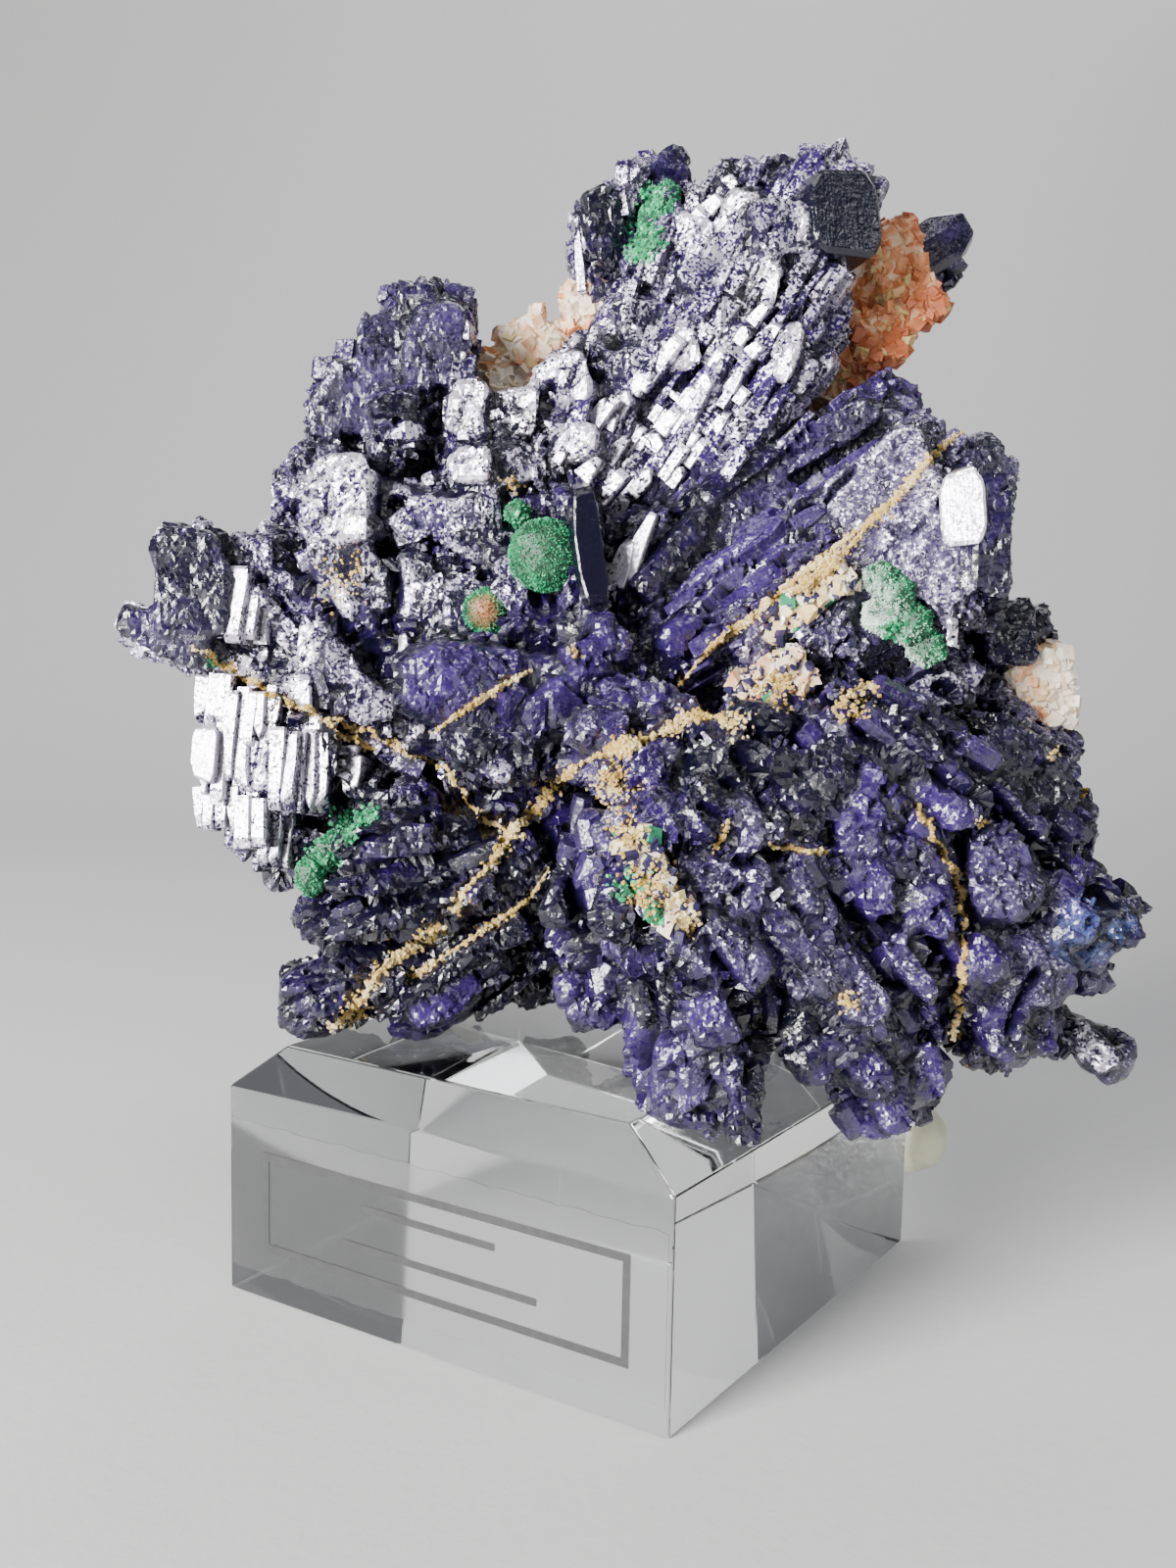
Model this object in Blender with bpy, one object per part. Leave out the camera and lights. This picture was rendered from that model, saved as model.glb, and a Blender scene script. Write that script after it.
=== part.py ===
"""Azurite crystal cluster with malachite and pale matrix, mounted on a bevelled clear display block.

Lengths below are in millimetres.  The specimen is laid out upright in a frame of its own: x runs to
the right across its broad front, y runs away from the front and z runs up.  That frame is turned
about the vertical, because the specimen faces one corner of the square block it stands on.
"""
import math
import random

import bmesh
import bpy
from mathutils import Matrix, Vector, noise

MM = 0.001

# Display block
BLOCK_SIDE = 50.0
BLOCK_HEIGHT = 25.0
SHOULDER_HEIGHT = 20.5
SIDE_SLOPE = 5.7
FRONT_SLOPE = 2.1

# Specimen
SPECIMEN_TURN = 33.0
FIT_GAP = 0.38
LEDGE_SEED = 41
MERGE = 0.0005
FLAT_ANGLE = 1.0

# Form of a crystal: shares of its half width or half thickness, and slopes in degrees
EDGE_CUT = 0.20
EDGE_CUT_SPREAD = (0.8, 2.4)
EDGE_CUT_DEPTH = 0.6
RIDGE_SHIFT = 0.3
TIP_SIDE_SLOPE = (24, 50)
TIP_SIDE_LEAN = 0.2
TIP_FACE_SLOPE = (35, 60)
TIP_FACE_PLACE = 0.2
ROLL = 9

# Ledge crystals: shares of the crystal that carries them, and how far they stand proud
LEDGE_LENGTH = (0.24, 0.38)
LEDGE_WIDTH = (0.32, 0.60)
LEDGE_DEPTH = 0.36
LEDGE_SIDE = 0.36
LEDGE_START = 0.16
LEDGE_RUN = 0.66
LEDGE_STEP = 0.6
LEDGE_PROUD = (0.6, 1.7)

# Unevenness of lumps: size and place of its waves, and how far blocks tilt
LUMP_WAVES = 2.1
LUMP_PHASE = 0.37
LUMP_LEVEL = 1.3
BLOCK_TILT = (14, 12)
HEART_ROUGH = 0.1
SEEDS_PER_NODE = 20

# Crystals: name, root point, heading (0 right, 90 up), lean away from the front, length, width,
# thickness, number of ledge crystals grown on the front of it
FRONT_CRYSTALS = [
    ("great", (1, 3, 72), 57, 0, 41, 15, 11, 6),
    ("great_end", (17, 5, 96), 66, 4, 18, 9, 12, 0),
    ("great_left", (-2, 3, 80), 67, 5, 32, 9, 9, 3),
    ("great_crest", (6, 4, 86), 68, 2, 27, 9, 9, 2),
    ("great_brim", (14, 5, 98), 75, 3, 15, 8, 9, 1),
    ("great_step", (3, -2, 72), 57, 2, 30, 9, 8, 2),
    ("great_rim", (8, -3, 76), 52, 6, 23, 5, 8, 2),
    ("great_foot", (-5, -2, 74), 71, 8, 22, 9, 9, 2),
    ("top_prism", (1, 8, 95), 97, 2, 15, 5, 6, 0),
    ("top_tablet", (4, 8, 96), 93, 4, 17, 9, 8, 1),
    ("far_wedge", (20, 14, 88), 49, 4, 26, 8, 6, 0),
    ("horn", (-20, 1, 71), 83, 8, 29, 9, 12, 2),
    ("horn_side", (-26, 0, 74), 85, 10, 19, 7, 9, 1),
    ("horn_rim", (-16, 0, 78), 84, 8, 17, 5, 9, 1),
    ("horn_stub", (-19, -5, 78), 92, 3, 10, 4, 7, 0),
    ("bright_block", (-24, -6, 70), 96, 2, 12, 7, 9, 1),
    ("flank", (-26, -2, 69), 98, 4, 14, 7, 9, 1),
    ("field_a", (-15, -5, 66), 97, 3, 15, 7, 9, 1),
    ("field_b", (-12, -4, 74), 85, 4, 14, 7, 9, 1),
    ("field_c", (-6, -4, 72), 101, 4, 15, 7, 9, 1),
    ("field_d", (-8, -6, 62), 103, 2, 15, 8, 9, 1),
    ("field_e", (-15, -6, 58), 107, 0, 13, 8, 9, 1),
    ("field_f", (-20, -6, 58), 109, 0, 14, 8, 9, 1),
    ("field_g", (-3, -8, 59), 104, 0, 12, 8, 9, 1),
    ("black_prism", (-1, -11, 66), 92, 3, 14, 5, 7, 0),
    ("pale_face", (3, -6, 65), 77, 3, 13, 6, 8, 0),
    ("left_arm", (-13, -2, 54), 136, 4, 29, 11, 12, 3),
    ("left_tablet", (-37, -6, 62), 93, 0, 13, 7, 8, 0),
    ("left_finger", (-33, -5, 60), 157, 4, 14, 4, 6, 0),
    ("left_neck", (-29, -3, 61), 122, 2, 14, 8, 10, 1),
    ("left_body", (-15, -3, 54), 155, 0, 22, 9, 11, 1),
    ("column_a", (-33, -4, 62), 262, -6, 16, 6, 9, 1),
    ("column_b", (-30, -5, 61), 263, -6, 18, 5, 9, 1),
    ("column_c", (-27, -5, 58), 270, -6, 12, 5, 9, 1),
    ("column_d", (-28, -4, 54), 264, -5, 14, 5, 8, 1),
    ("column_e", (-24, -4, 58), 270, -6, 12, 5, 8, 1),
    ("heart_a", (-1, -11, 61), 180, -3, 17, 8, 10, 1),
    ("heart_b", (1, -11, 56), 190, -3, 16, 6, 9, 1),
    ("heart_c", (4, -11, 57), 133, 0, 13, 8, 10, 1),
    ("rosette_a", (-2, -5, 45), 190, -3, 27, 9, 13, 3),
    ("rosette_b", (-3, -5, 39), 204, -1, 30, 7, 11, 2),
    ("rosette_c", (-2, -4, 37), 213, -3, 21, 6, 10, 1),
    ("rosette_d", (-8, -4, 49), 191, 0, 19, 6, 9, 1),
    ("rosette_e", (-5, -8, 46), 203, -3, 25, 7, 9, 2),
    ("rosette_f", (-1, -2, 38), 223, -3, 11, 6, 9, 1),
    ("rosette_bud", (-3, -1, 33), 237, 0, 7, 5, 8, 0),
    ("ray_a", (1, -3, 67), 36, 8, 38, 7, 9, 2),
    ("ray_b", (3, -6, 63), 34, 3, 38, 8, 10, 2),
    ("ray_c", (2, -9, 59), 34, 0, 27, 7, 9, 1),
    ("slab", (17, -9, 57), 55, 3, 29, 13, 13, 2),
    ("slab_rim", (35, -4, 66), 83, 3, 18, 5, 12, 1),
    ("slab_window", (35, -12, 69), 98, 2, 12, 5, 7, 0),
    ("slab_foot", (24, -9, 53), 43, 5, 16, 8, 12, 1),
    ("right_knob", (35, 0, 58), 44, 5, 14, 6, 10, 1),
    ("right_finger", (29, -5, 60), 324, 0, 25, 7, 11, 1),
    ("right_spur", (36, -2, 62), 318, 0, 15, 6, 9, 0),
    ("fan_head", (9, -19, 51), 151, 0, 13, 6, 10, 1),
    ("fan_brow", (10, -18, 53), 139, 3, 12, 6, 10, 1),
    ("fan_a", (3, -23, 49), 259, 0, 17, 7, 11, 2),
    ("fan_b", (5, -24, 51), 282, -10, 29, 11, 13, 3),
    ("fan_c", (9, -24, 51), 305, 5, 34, 9, 13, 3),
    ("fan_d", (11, -23, 53), 309, 9, 33, 8, 13, 2),
    ("fan_e", (16, -20, 56), 315, 12, 38, 10, 13, 4),
    ("fan_f", (20, -18, 56), 325, 14, 38, 11, 13, 4),
    ("fan_g", (22, -14, 59), 332, 12, 29, 6, 11, 1),
    ("fan_tip", (40, -10, 31), 330, 6, 13, 4, 6, 0),
    ("fan_under", (28, -14, 37), 322, 6, 18, 7, 9, 1),
    ("fan_hem", (22, -18, 36), 300, 4, 17, 8, 10, 1),
]

# Shorter crystals overlapping like scales down the front of the lower right fan
SCALE_CRYSTALS = [
    ("scale_a", (11, -22, 57), 322, -22, 10, 6, 7, 0),
    ("scale_b", (15, -21, 58), 322, -20, 10, 6, 7, 0),
    ("scale_c", (20, -19, 59), 325, -18, 11, 6, 7, 0),
    ("scale_d", (25, -17, 59), 326, -16, 11, 6, 7, 0),
    ("scale_e", (7, -24, 52), 300, -16, 10, 6, 7, 0),
    ("scale_f", (13, -24, 50), 308, -14, 11, 7, 7, 0),
    ("scale_g", (20, -22, 51), 316, -12, 12, 7, 7, 0),
    ("scale_h", (28, -18, 51), 322, -10, 12, 7, 7, 0),
    ("scale_i", (8, -28, 42), 288, -10, 11, 6, 7, 0),
    ("scale_j", (16, -26, 42), 305, -8, 12, 6, 7, 0),
    ("scale_k", (26, -21, 43), 314, -8, 12, 6, 7, 0),
    ("scale_l", (36, -15, 45), 326, -8, 12, 6, 7, 0),
]

# The back of the specimen: crystals radiating behind the front ones, none reaching past them
BACK_CRYSTALS = [
    ("back_a", (4, 7, 62), 22, 12, 34, 11, 9, 1),
    ("back_b", (6, 7, 60), 50, 14, 36, 12, 8, 1),
    ("back_c", (4, 11, 62), 76, 12, 38, 13, 8, 1),
    ("back_d", (0, 9, 64), 108, 14, 27, 11, 8, 1),
    ("back_e", (-4, 7, 60), 146, 12, 29, 11, 9, 1),
    ("back_f", (-6, 6, 58), 180, 12, 26, 10, 9, 1),
    ("back_g", (-4, 6, 53), 212, 10, 24, 11, 9, 1),
    ("back_h", (4, 5, 52), 274, 20, 17, 10, 9, 1),
    ("back_i", (8, 5, 53), 322, 12, 28, 12, 9, 1),
    ("back_j", (12, 5, 58), 357, 14, 28, 11, 9, 1),
    ("back_k", (2, 9, 60), 60, 38, 20, 9, 8, 0),
    ("back_l", (0, 9, 58), 146, 38, 18, 9, 8, 0),
    ("back_m", (4, 8, 55), 320, 38, 18, 9, 8, 0),
    ("back_n", (0, 8, 55), 215, 38, 16, 8, 8, 0),
    ("back_o", (-6, 4, 44), 232, 12, 17, 11, 9, 1),
    ("back_p", (-4, 4, 44), 262, 14, 15, 9, 9, 1),
    ("back_q", (16, 3, 52), 305, 14, 24, 11, 9, 1),
]

# Solid heart that the crystals grow from: centre, half sizes
HEART = [
    ((8, 0, 58), (24, 9, 11)),
    ((6, 2, 74), (13, 6, 14)),
    ((-17, 1, 62), (14, 8, 13)),
    ((16, -10, 49), (17, 11, 10)),
    ((-11, 1, 38), (10, 8, 11)),
    ((-3, 0, 50), (10, 8, 9)),
    ((24, 1, 66), (13, 7, 10)),
    ((-19, 6, 51), (7, 5, 7)),
    ((39, 3, 63), (5, 3, 5)),
]

# The other pieces.  Matrix is built of blocks: centre, half sizes, turn about the depth axis.
# Malachite and putty are rounded: centre, half sizes.
MATRIX_SLAB = [
    ((9, 10, 95), (10, 2.2, 5.0), 12),
    ((-4, 9, 92), (7.5, 2.4, 3.4), 24),
    ((-11, 9, 90), (4.5, 2.2, 1.8), 4),
    ((2, 10, 97), (4.0, 2.4, 3.6), 40),
    ((20, 10, 91), (6.5, 2.4, 5.0), 48),
    ((27, 10, 98), (5.5, 2.4, 4.6), 56),
    ((29.5, 9, 103), (2.6, 2.6, 3.4), 20),
    ((32, 9, 99), (2.4, 2.2, 2.4), 38),
    ((28, 8, 95), (2.6, 2.2, 2.4), 15),
    ((24, 8, 91), (2.8, 2.2, 2.6), 62),
    ((19, 8, 87), (2.8, 2.2, 2.4), 30),
    ((-7, 8, 94), (2.4, 2.2, 2.2), 35),
    ((-1, 9, 97.5), (2.4, 2.2, 2.4), 12),
    ((-13.4, 8.5, 91.5), (1.8, 2.0, 1.6), 42),
]
MATRIX_LUMP = [((43.4, -2, 60.4), (2.8, 2.4, 3.6), 12), ((41.6, -2, 62.4), (2.0, 2.2, 2.0), 48)]
MATRIX_CHIP = [((16.6, -16.6, 61.5), (2.2, 2.4, 1.6), 30), ((14.2, -17, 60.4), (1.7, 2.2, 1.4), 10)]
MATRIX_SEAM = [((20, -14.6, 69.4), (2.4, 2.0, 1.5), 40), ((17.4, -14, 67), (2.0, 2.0, 1.3), 22)]
MATRIX_CRUST = [((4.4, -31, 47), (1.5, 2.0, 2.4), 24), ((6.4, -32.6, 43.8), (1.3, 2.0, 1.8), 50)]
MALACHITE_ROSETTE = [((-4.6, -12.2, 72), (3.4, 2.4, 3.4))]
MALACHITE_BUTTON = [((-7.2, -9.4, 75.9), (1.4, 1.7, 1.2))]
MALACHITE_RING = [((-10, -11, 66.8), (2.1, 1.8, 2.1))]
MALACHITE_RIGHT = [
    ((25.4, -15.6, 70.4), (1.9, 2.0, 1.6)),
    ((26.6, -15.6, 69.0), (2.2, 1.9, 2.1)),
    ((25.8, -15.8, 67.2), (2.2, 1.8, 2.0)),
    ((28.2, -15.4, 66.4), (2.2, 2.0, 2.2)),
    ((29.8, -14.8, 64.4), (2.0, 1.8, 1.9)),
]
MALACHITE_LEFT = [
    ((-22, -9.6, 46.2), (1.8, 1.8, 1.6)),
    ((-24.0, -10.6, 44.2), (1.9, 1.9, 1.9)),
    ((-26.0, -11, 42), (1.6, 1.9, 2.2)),
]
MALACHITE_TOP = [((5.2, 3.2, 105), (1.9, 1.8, 2.2)), ((6.4, 3.4, 107.6), (1.5, 1.6, 1.6))]
PUTTY_BALL = [((36.3, 11.4, 10.2), (3.9, 3.9, 3.8))]
PUTTY_PAD = [((-15, 1, 26.6), (6.0, 3.6, 1.15))]

# Other solids: node name, lumps, unevenness, fineness, colour, surface roughness
LUMP_NODES = [
    ("matrix_slab", MATRIX_SLAB, 0.16, 2, (0.78, 0.36, 0.20), 0.75),
    ("matrix_lump_right", MATRIX_LUMP, 0.18, 2, (0.85, 0.66, 0.55), 0.75),
    ("matrix_chip_centre", MATRIX_CHIP, 0.16, 2, (0.85, 0.62, 0.45), 0.75),
    ("matrix_seam_upper", MATRIX_SEAM, 0.14, 2, (0.82, 0.68, 0.50), 0.75),
    ("matrix_crust_lower", MATRIX_CRUST, 0.14, 2, (0.82, 0.76, 0.52), 0.75),
    ("malachite_rosette", MALACHITE_ROSETTE, 0.08, 2, (0.02, 0.32, 0.12), 0.55),
    ("malachite_button", MALACHITE_BUTTON, 0.10, 1, (0.02, 0.30, 0.11), 0.55),
    ("malachite_ring", MALACHITE_RING, 0.08, 2, (0.10, 0.30, 0.10), 0.60),
    ("malachite_right", MALACHITE_RIGHT, 0.14, 1, (0.02, 0.34, 0.14), 0.50),
    ("malachite_left", MALACHITE_LEFT, 0.16, 1, (0.03, 0.28, 0.10), 0.55),
    ("malachite_top", MALACHITE_TOP, 0.14, 1, (0.03, 0.28, 0.10), 0.60),
    ("mounting_putty", PUTTY_BALL, 0.02, 2, (0.80, 0.86, 0.66), 0.45),
    ("putty_pad", PUTTY_PAD, 0.04, 1, (0.80, 0.84, 0.76), 0.35),
]


def clear_scene():
    """Remove whatever the scene holds."""
    for item in list(bpy.data.objects):
        bpy.data.objects.remove(item, do_unlink=True)


def collection(name):
    """A new collection linked to the scene."""
    made = bpy.data.collections.new(name)
    bpy.context.scene.collection.children.link(made)
    return made


def material(name, colour, roughness, alpha=1.0):
    """A Principled material with one plain colour."""
    made = bpy.data.materials.new(name)
    made.use_nodes = True
    shader = made.node_tree.nodes["Principled BSDF"]
    shader.inputs["Base Color"].default_value = (*colour, 1.0)
    shader.inputs["Roughness"].default_value = roughness
    shader.inputs["Alpha"].default_value = alpha
    made.diffuse_color = (*colour, alpha)
    return made


def mesh_object(name, bm, home):
    """Turn a bmesh into an object of the given collection."""
    bmesh.ops.recalc_face_normals(bm, faces=bm.faces[:])
    mesh = bpy.data.meshes.new(name)
    bm.to_mesh(mesh)
    bm.free()
    made = bpy.data.objects.new(name, mesh)
    home.objects.link(made)
    return made


def slice_off(bm, point, normal):
    """Cut away the side of a closed solid that the normal points to, and close the cut."""
    geometry = bm.verts[:] + bm.edges[:] + bm.faces[:]
    bmesh.ops.bisect_plane(bm, geom=geometry, dist=1e-7, plane_co=point, plane_no=normal,
                           clear_outer=True)
    rim = [edge for edge in bm.edges if edge.is_boundary]
    if rim:
        bmesh.ops.holes_fill(bm, edges=rim, sides=0)


def crystal_solid(length, width, thick, rng, face, edges):
    """A bladed crystal standing on z=0: a box with two long edges cut on its shown face, and a
    chisel tip.  The shown face is on the -y side (face -1) or the +y side (face 1)."""
    bm = bmesh.new()
    bmesh.ops.create_cube(bm, size=1.0)
    bmesh.ops.scale(bm, vec=(width * MM, thick * MM, length * MM), verts=bm.verts[:])
    bmesh.ops.translate(bm, vec=(0, 0, 0.5 * length * MM), verts=bm.verts[:])
    half_w = 0.5 * width * MM
    half_t = 0.5 * thick * MM
    top = length * MM
    for side in (1, -1)[:edges]:
        cut = EDGE_CUT * rng.uniform(*EDGE_CUT_SPREAD)
        normal = Vector((side / half_w, face / half_t, 0.0)).normalized()
        slice_off(bm, Vector((side * half_w * (1 - cut), face * half_t * (1 - cut * EDGE_CUT_DEPTH), 0)), normal)
    ridge = rng.uniform(-RIDGE_SHIFT, RIDGE_SHIFT) * half_w
    for side in (1, -1)[:max(1, edges)]:
        slope = math.radians(rng.uniform(*TIP_SIDE_SLOPE))
        normal = Vector((side * math.sin(slope), rng.uniform(-TIP_SIDE_LEAN, TIP_SIDE_LEAN), math.cos(slope)))
        slice_off(bm, Vector((ridge, 0, top)), normal.normalized())
    slope = math.radians(rng.uniform(*TIP_FACE_SLOPE))
    slice_off(bm, Vector((0, face * half_t * TIP_FACE_PLACE, top)), Vector((0, face * math.sin(slope), math.cos(slope))))
    return bm


def growth_matrix(root, heading, lean, roll=0.0):
    """Placement whose local z follows the heading in the x-z plane and leans away from the front."""
    turn = math.radians(heading)
    back = math.radians(lean)
    along = Vector((math.cos(turn) * math.cos(back), math.sin(back), math.sin(turn) * math.cos(back)))
    across = Vector((0, 1, 0)).cross(along).normalized()
    depth = along.cross(across)
    rotation = Matrix((across, depth, along)).transposed().to_4x4()
    return Matrix.Translation(Vector(root) * MM) @ rotation @ Matrix.Rotation(roll, 4, "Z")


def grow_crystal(row, face, edges, rng, home):
    """The crystal of one table row, and the ledge crystals along its shown face."""
    name, root, heading, lean, length, width, thick, ledges = row
    bm = crystal_solid(length, width, thick, rng, face, edges)
    place = growth_matrix(root, heading, lean, math.radians(rng.uniform(-ROLL, ROLL)))
    bmesh.ops.transform(bm, matrix=place, verts=bm.verts[:])
    mesh_object(name, bm, home)
    for number in range(ledges):
        grow_ledge(f"{name}_ledge_{number}", place, row, face, (number + LEDGE_STEP) / ledges, rng, home)


def grow_ledge(name, place, row, face, share, rng, home):
    """A small crystal grown parallel to a larger one, standing slightly proud of its shown face."""
    length, width, thick = row[4], row[5], row[6]
    small = length * rng.uniform(*LEDGE_LENGTH)
    start = length * (LEDGE_START + LEDGE_RUN * share) - 0.5 * small
    sideways = width * rng.uniform(-LEDGE_SIDE, LEDGE_SIDE)
    proud = rng.uniform(*LEDGE_PROUD)
    depth = LEDGE_DEPTH * thick
    bm = crystal_solid(small, width * rng.uniform(*LEDGE_WIDTH), depth, rng, face, 0)
    shift = Vector((sideways, face * (0.5 * thick + proud - 0.5 * depth), start)) * MM
    bmesh.ops.transform(bm, matrix=place @ Matrix.Translation(shift), verts=bm.verts[:])
    mesh_object(name, bm, home)


def round_solid(centre, half, rough, seed, spread, detail):
    """A rounded lump with an uneven surface, larger all round by the spread."""
    bm = bmesh.new()
    bmesh.ops.create_icosphere(bm, subdivisions=detail, radius=1.0)
    for vert in bm.verts:
        way = vert.co.normalized()
        swell = 1.0 + rough * noise.noise(way * LUMP_WAVES + Vector((seed, LUMP_PHASE * seed, LUMP_LEVEL)))
        outer = Vector((way.x * half[0] * swell, way.y * half[1] * swell, way.z * half[2] * swell))
        normal = Vector((way.x / half[0], way.y / half[1], way.z / half[2])).normalized()
        vert.co = (Vector(centre) + outer + spread * normal) * MM
    return bm


def block_solid(centre, half, turn, seed, spread):
    """A tilted block with leaning sides, larger all round by the spread."""
    rng = random.Random(seed)
    bm = bmesh.new()
    bmesh.ops.create_cube(bm, size=2.0)
    size = Vector(half) + Vector((spread, spread, spread))
    bmesh.ops.scale(bm, vec=size * MM, verts=bm.verts[:])
    nod, swing = BLOCK_TILT
    tilt = Matrix.Rotation(math.radians(rng.uniform(-nod, nod)), 4, "X")
    tilt = Matrix.Rotation(math.radians(rng.uniform(-swing, swing)), 4, "Z") @ tilt
    place = Matrix.Translation(Vector(centre) * MM) @ Matrix.Rotation(math.radians(-turn), 4, "Y") @ tilt
    bmesh.ops.transform(bm, matrix=place, verts=bm.verts[:])
    return bm


def lump_solid(lump, rough, seed, detail, spread=0.0):
    """One lump of a table: a block where the lump states a turn, else a rounded one."""
    if len(lump) == 3:
        return block_solid(lump[0], lump[1], lump[2], seed, spread)
    return round_solid(lump[0], lump[1], rough, seed, spread, detail)


def boolean(target, operand, operation):
    """Apply an exact Boolean with every object of a collection to the target's own mesh."""
    cut = target.modifiers.new("join", "BOOLEAN")
    cut.operation = operation
    cut.operand_type = "COLLECTION"
    cut.collection = operand
    cut.solver = "EXACT"
    graph = bpy.context.evaluated_depsgraph_get()
    graph.update()
    mesh = bpy.data.meshes.new_from_object(target.evaluated_get(graph))
    target.modifiers.clear()
    target.data = mesh


def connected(start):
    """The vertices that edges join to one vertex."""
    found = {start}
    edge_of = [start]
    while edge_of:
        vert = edge_of.pop()
        for edge in vert.link_edges:
            other = edge.other_vert(vert)
            if other not in found:
                found.add(other)
                edge_of.append(other)
    return found


def keep_largest_shell(target):
    """Drop crumbs that a cut has set loose, and merge points that lie together."""
    bm = bmesh.new()
    bm.from_mesh(target.data)
    bmesh.ops.remove_doubles(bm, verts=bm.verts[:], dist=MERGE * MM)
    bmesh.ops.dissolve_limit(bm, angle_limit=math.radians(FLAT_ANGLE), verts=bm.verts[:], edges=bm.edges[:])
    left = set(bm.verts)
    shells = []
    while left:
        shell = connected(next(iter(left)))
        left -= shell
        shells.append(shell)
    shells.sort(key=len)
    for shell in shells[:-1]:
        bmesh.ops.delete(bm, geom=list(shell), context="VERTS")
    bmesh.ops.triangulate(bm, faces=bm.faces[:])
    bm.to_mesh(target.data)
    bm.free()


def build_block(home):
    """The display block: square, with its top edges sloped, wider on the sides than front and back."""
    bm = bmesh.new()
    bmesh.ops.create_cube(bm, size=1.0)
    bmesh.ops.scale(bm, vec=(BLOCK_SIDE * MM, BLOCK_SIDE * MM, BLOCK_HEIGHT * MM), verts=bm.verts[:])
    bmesh.ops.translate(bm, vec=(0, 0, 0.5 * BLOCK_HEIGHT * MM), verts=bm.verts[:])
    rise = BLOCK_HEIGHT - SHOULDER_HEIGHT
    shoulder = SHOULDER_HEIGHT * MM
    half = 0.5 * BLOCK_SIDE * MM
    for side in (1, -1):
        slice_off(bm, Vector((side * half, 0, shoulder)), Vector((side * rise, 0, SIDE_SLOPE)).normalized())
        slice_off(bm, Vector((0, side * half, shoulder)), Vector((0, side * rise, FRONT_SLOPE)).normalized())
    block = mesh_object("acrylic_base", bm, home)
    block.data.materials.append(material("clear_acrylic", (0.90, 0.93, 0.93), 0.05, 0.35))
    return block


def block_cutter(home, turn):
    """The block's room inside the specimen: the block grown by the fit gap, in the specimen's frame."""
    bm = bmesh.new()
    side = (BLOCK_SIDE + 2 * FIT_GAP) * MM
    tall = (BLOCK_HEIGHT + 2 * FIT_GAP) * MM
    bmesh.ops.create_cube(bm, size=1.0)
    bmesh.ops.scale(bm, vec=(side, side, tall), verts=bm.verts[:])
    bmesh.ops.translate(bm, vec=(0, 0, 0.5 * BLOCK_HEIGHT * MM), verts=bm.verts[:])
    bmesh.ops.transform(bm, matrix=Matrix.Rotation(-turn, 4, "Z"), verts=bm.verts[:])
    return mesh_object("cut_block", bm, home)


def build_lump_node(row, seed, home):
    """One separate lump or patch, made by joining its lumps."""
    name, lumps, rough, detail, colour, roughness = row
    scrap = collection(f"{name}_lumps")
    for index, lump in enumerate(lumps[1:]):
        mesh_object(f"{name}_{index}", lump_solid(lump, rough, seed + index + 1, detail), scrap)
    made = mesh_object(name, lump_solid(lumps[0], rough, seed, detail), home)
    if len(lumps) > 1:
        boolean(made, scrap, "UNION")
    keep_largest_shell(made)
    discard(scrap)
    made.data.materials.clear()
    made.data.materials.append(material(f"{name}_surface", colour, roughness))
    return made


def lump_cutters(home):
    """The same lumps a fit gap larger, to make their sockets in the azurite."""
    for number, (name, lumps, rough, detail, _colour, _roughness) in enumerate(LUMP_NODES):
        for index, lump in enumerate(lumps):
            bm = lump_solid(lump, rough, SEEDS_PER_NODE * number + index, detail, FIT_GAP)
            mesh_object(f"cut_{name}_{index}", bm, home)


def discard(old):
    """Remove a collection of construction solids."""
    for item in list(old.objects):
        bpy.data.objects.remove(item, do_unlink=True)
    bpy.data.collections.remove(old)


def build_cluster(home, turn):
    """Grow every crystal, join them into one solid and cut the sockets of the other pieces."""
    rng = random.Random(LEDGE_SEED)
    crystals = collection("crystals")
    for row in FRONT_CRYSTALS:
        grow_crystal(row, -1, 2, rng, crystals)
    for row in SCALE_CRYSTALS:
        grow_crystal(row, -1, 1, rng, crystals)
    for row in BACK_CRYSTALS:
        grow_crystal(row, 1, 1, rng, crystals)
    for index, lump in enumerate(HEART[1:]):
        mesh_object(f"heart_{index}", lump_solid(lump, HEART_ROUGH, index + 1, 1), crystals)
    cluster = mesh_object("azurite_cluster", lump_solid(HEART[0], HEART_ROUGH, 0, 1), home)
    boolean(cluster, crystals, "UNION")
    discard(crystals)
    sockets = collection("sockets")
    cutters = collection("cutters")
    lump_cutters(sockets)
    room = block_cutter(cutters, turn)
    boolean(room, sockets, "UNION")
    boolean(cluster, cutters, "DIFFERENCE")
    discard(sockets)
    discard(cutters)
    keep_largest_shell(cluster)
    cluster.data.materials.clear()
    cluster.data.materials.append(material("azurite", (0.020, 0.018, 0.130), 0.30))
    return cluster


def main():
    """Build the block, the specimen and the pieces set in it."""
    clear_scene()
    turn = math.radians(SPECIMEN_TURN)
    home = collection("azurite_specimen")
    build_block(home)
    axis = bpy.data.objects.new("specimen_axis", None)
    axis.rotation_euler = (0, 0, turn)
    home.objects.link(axis)
    parts = [build_cluster(home, turn)]
    for number, row in enumerate(LUMP_NODES):
        parts.append(build_lump_node(row, SEEDS_PER_NODE * number, home))
    for part in parts:
        part.parent = axis


main()
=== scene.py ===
import math
from contextlib import contextmanager

import bpy
import numpy as np
from mathutils import Matrix, Vector
from mathutils.bvhtree import BVHTree


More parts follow.
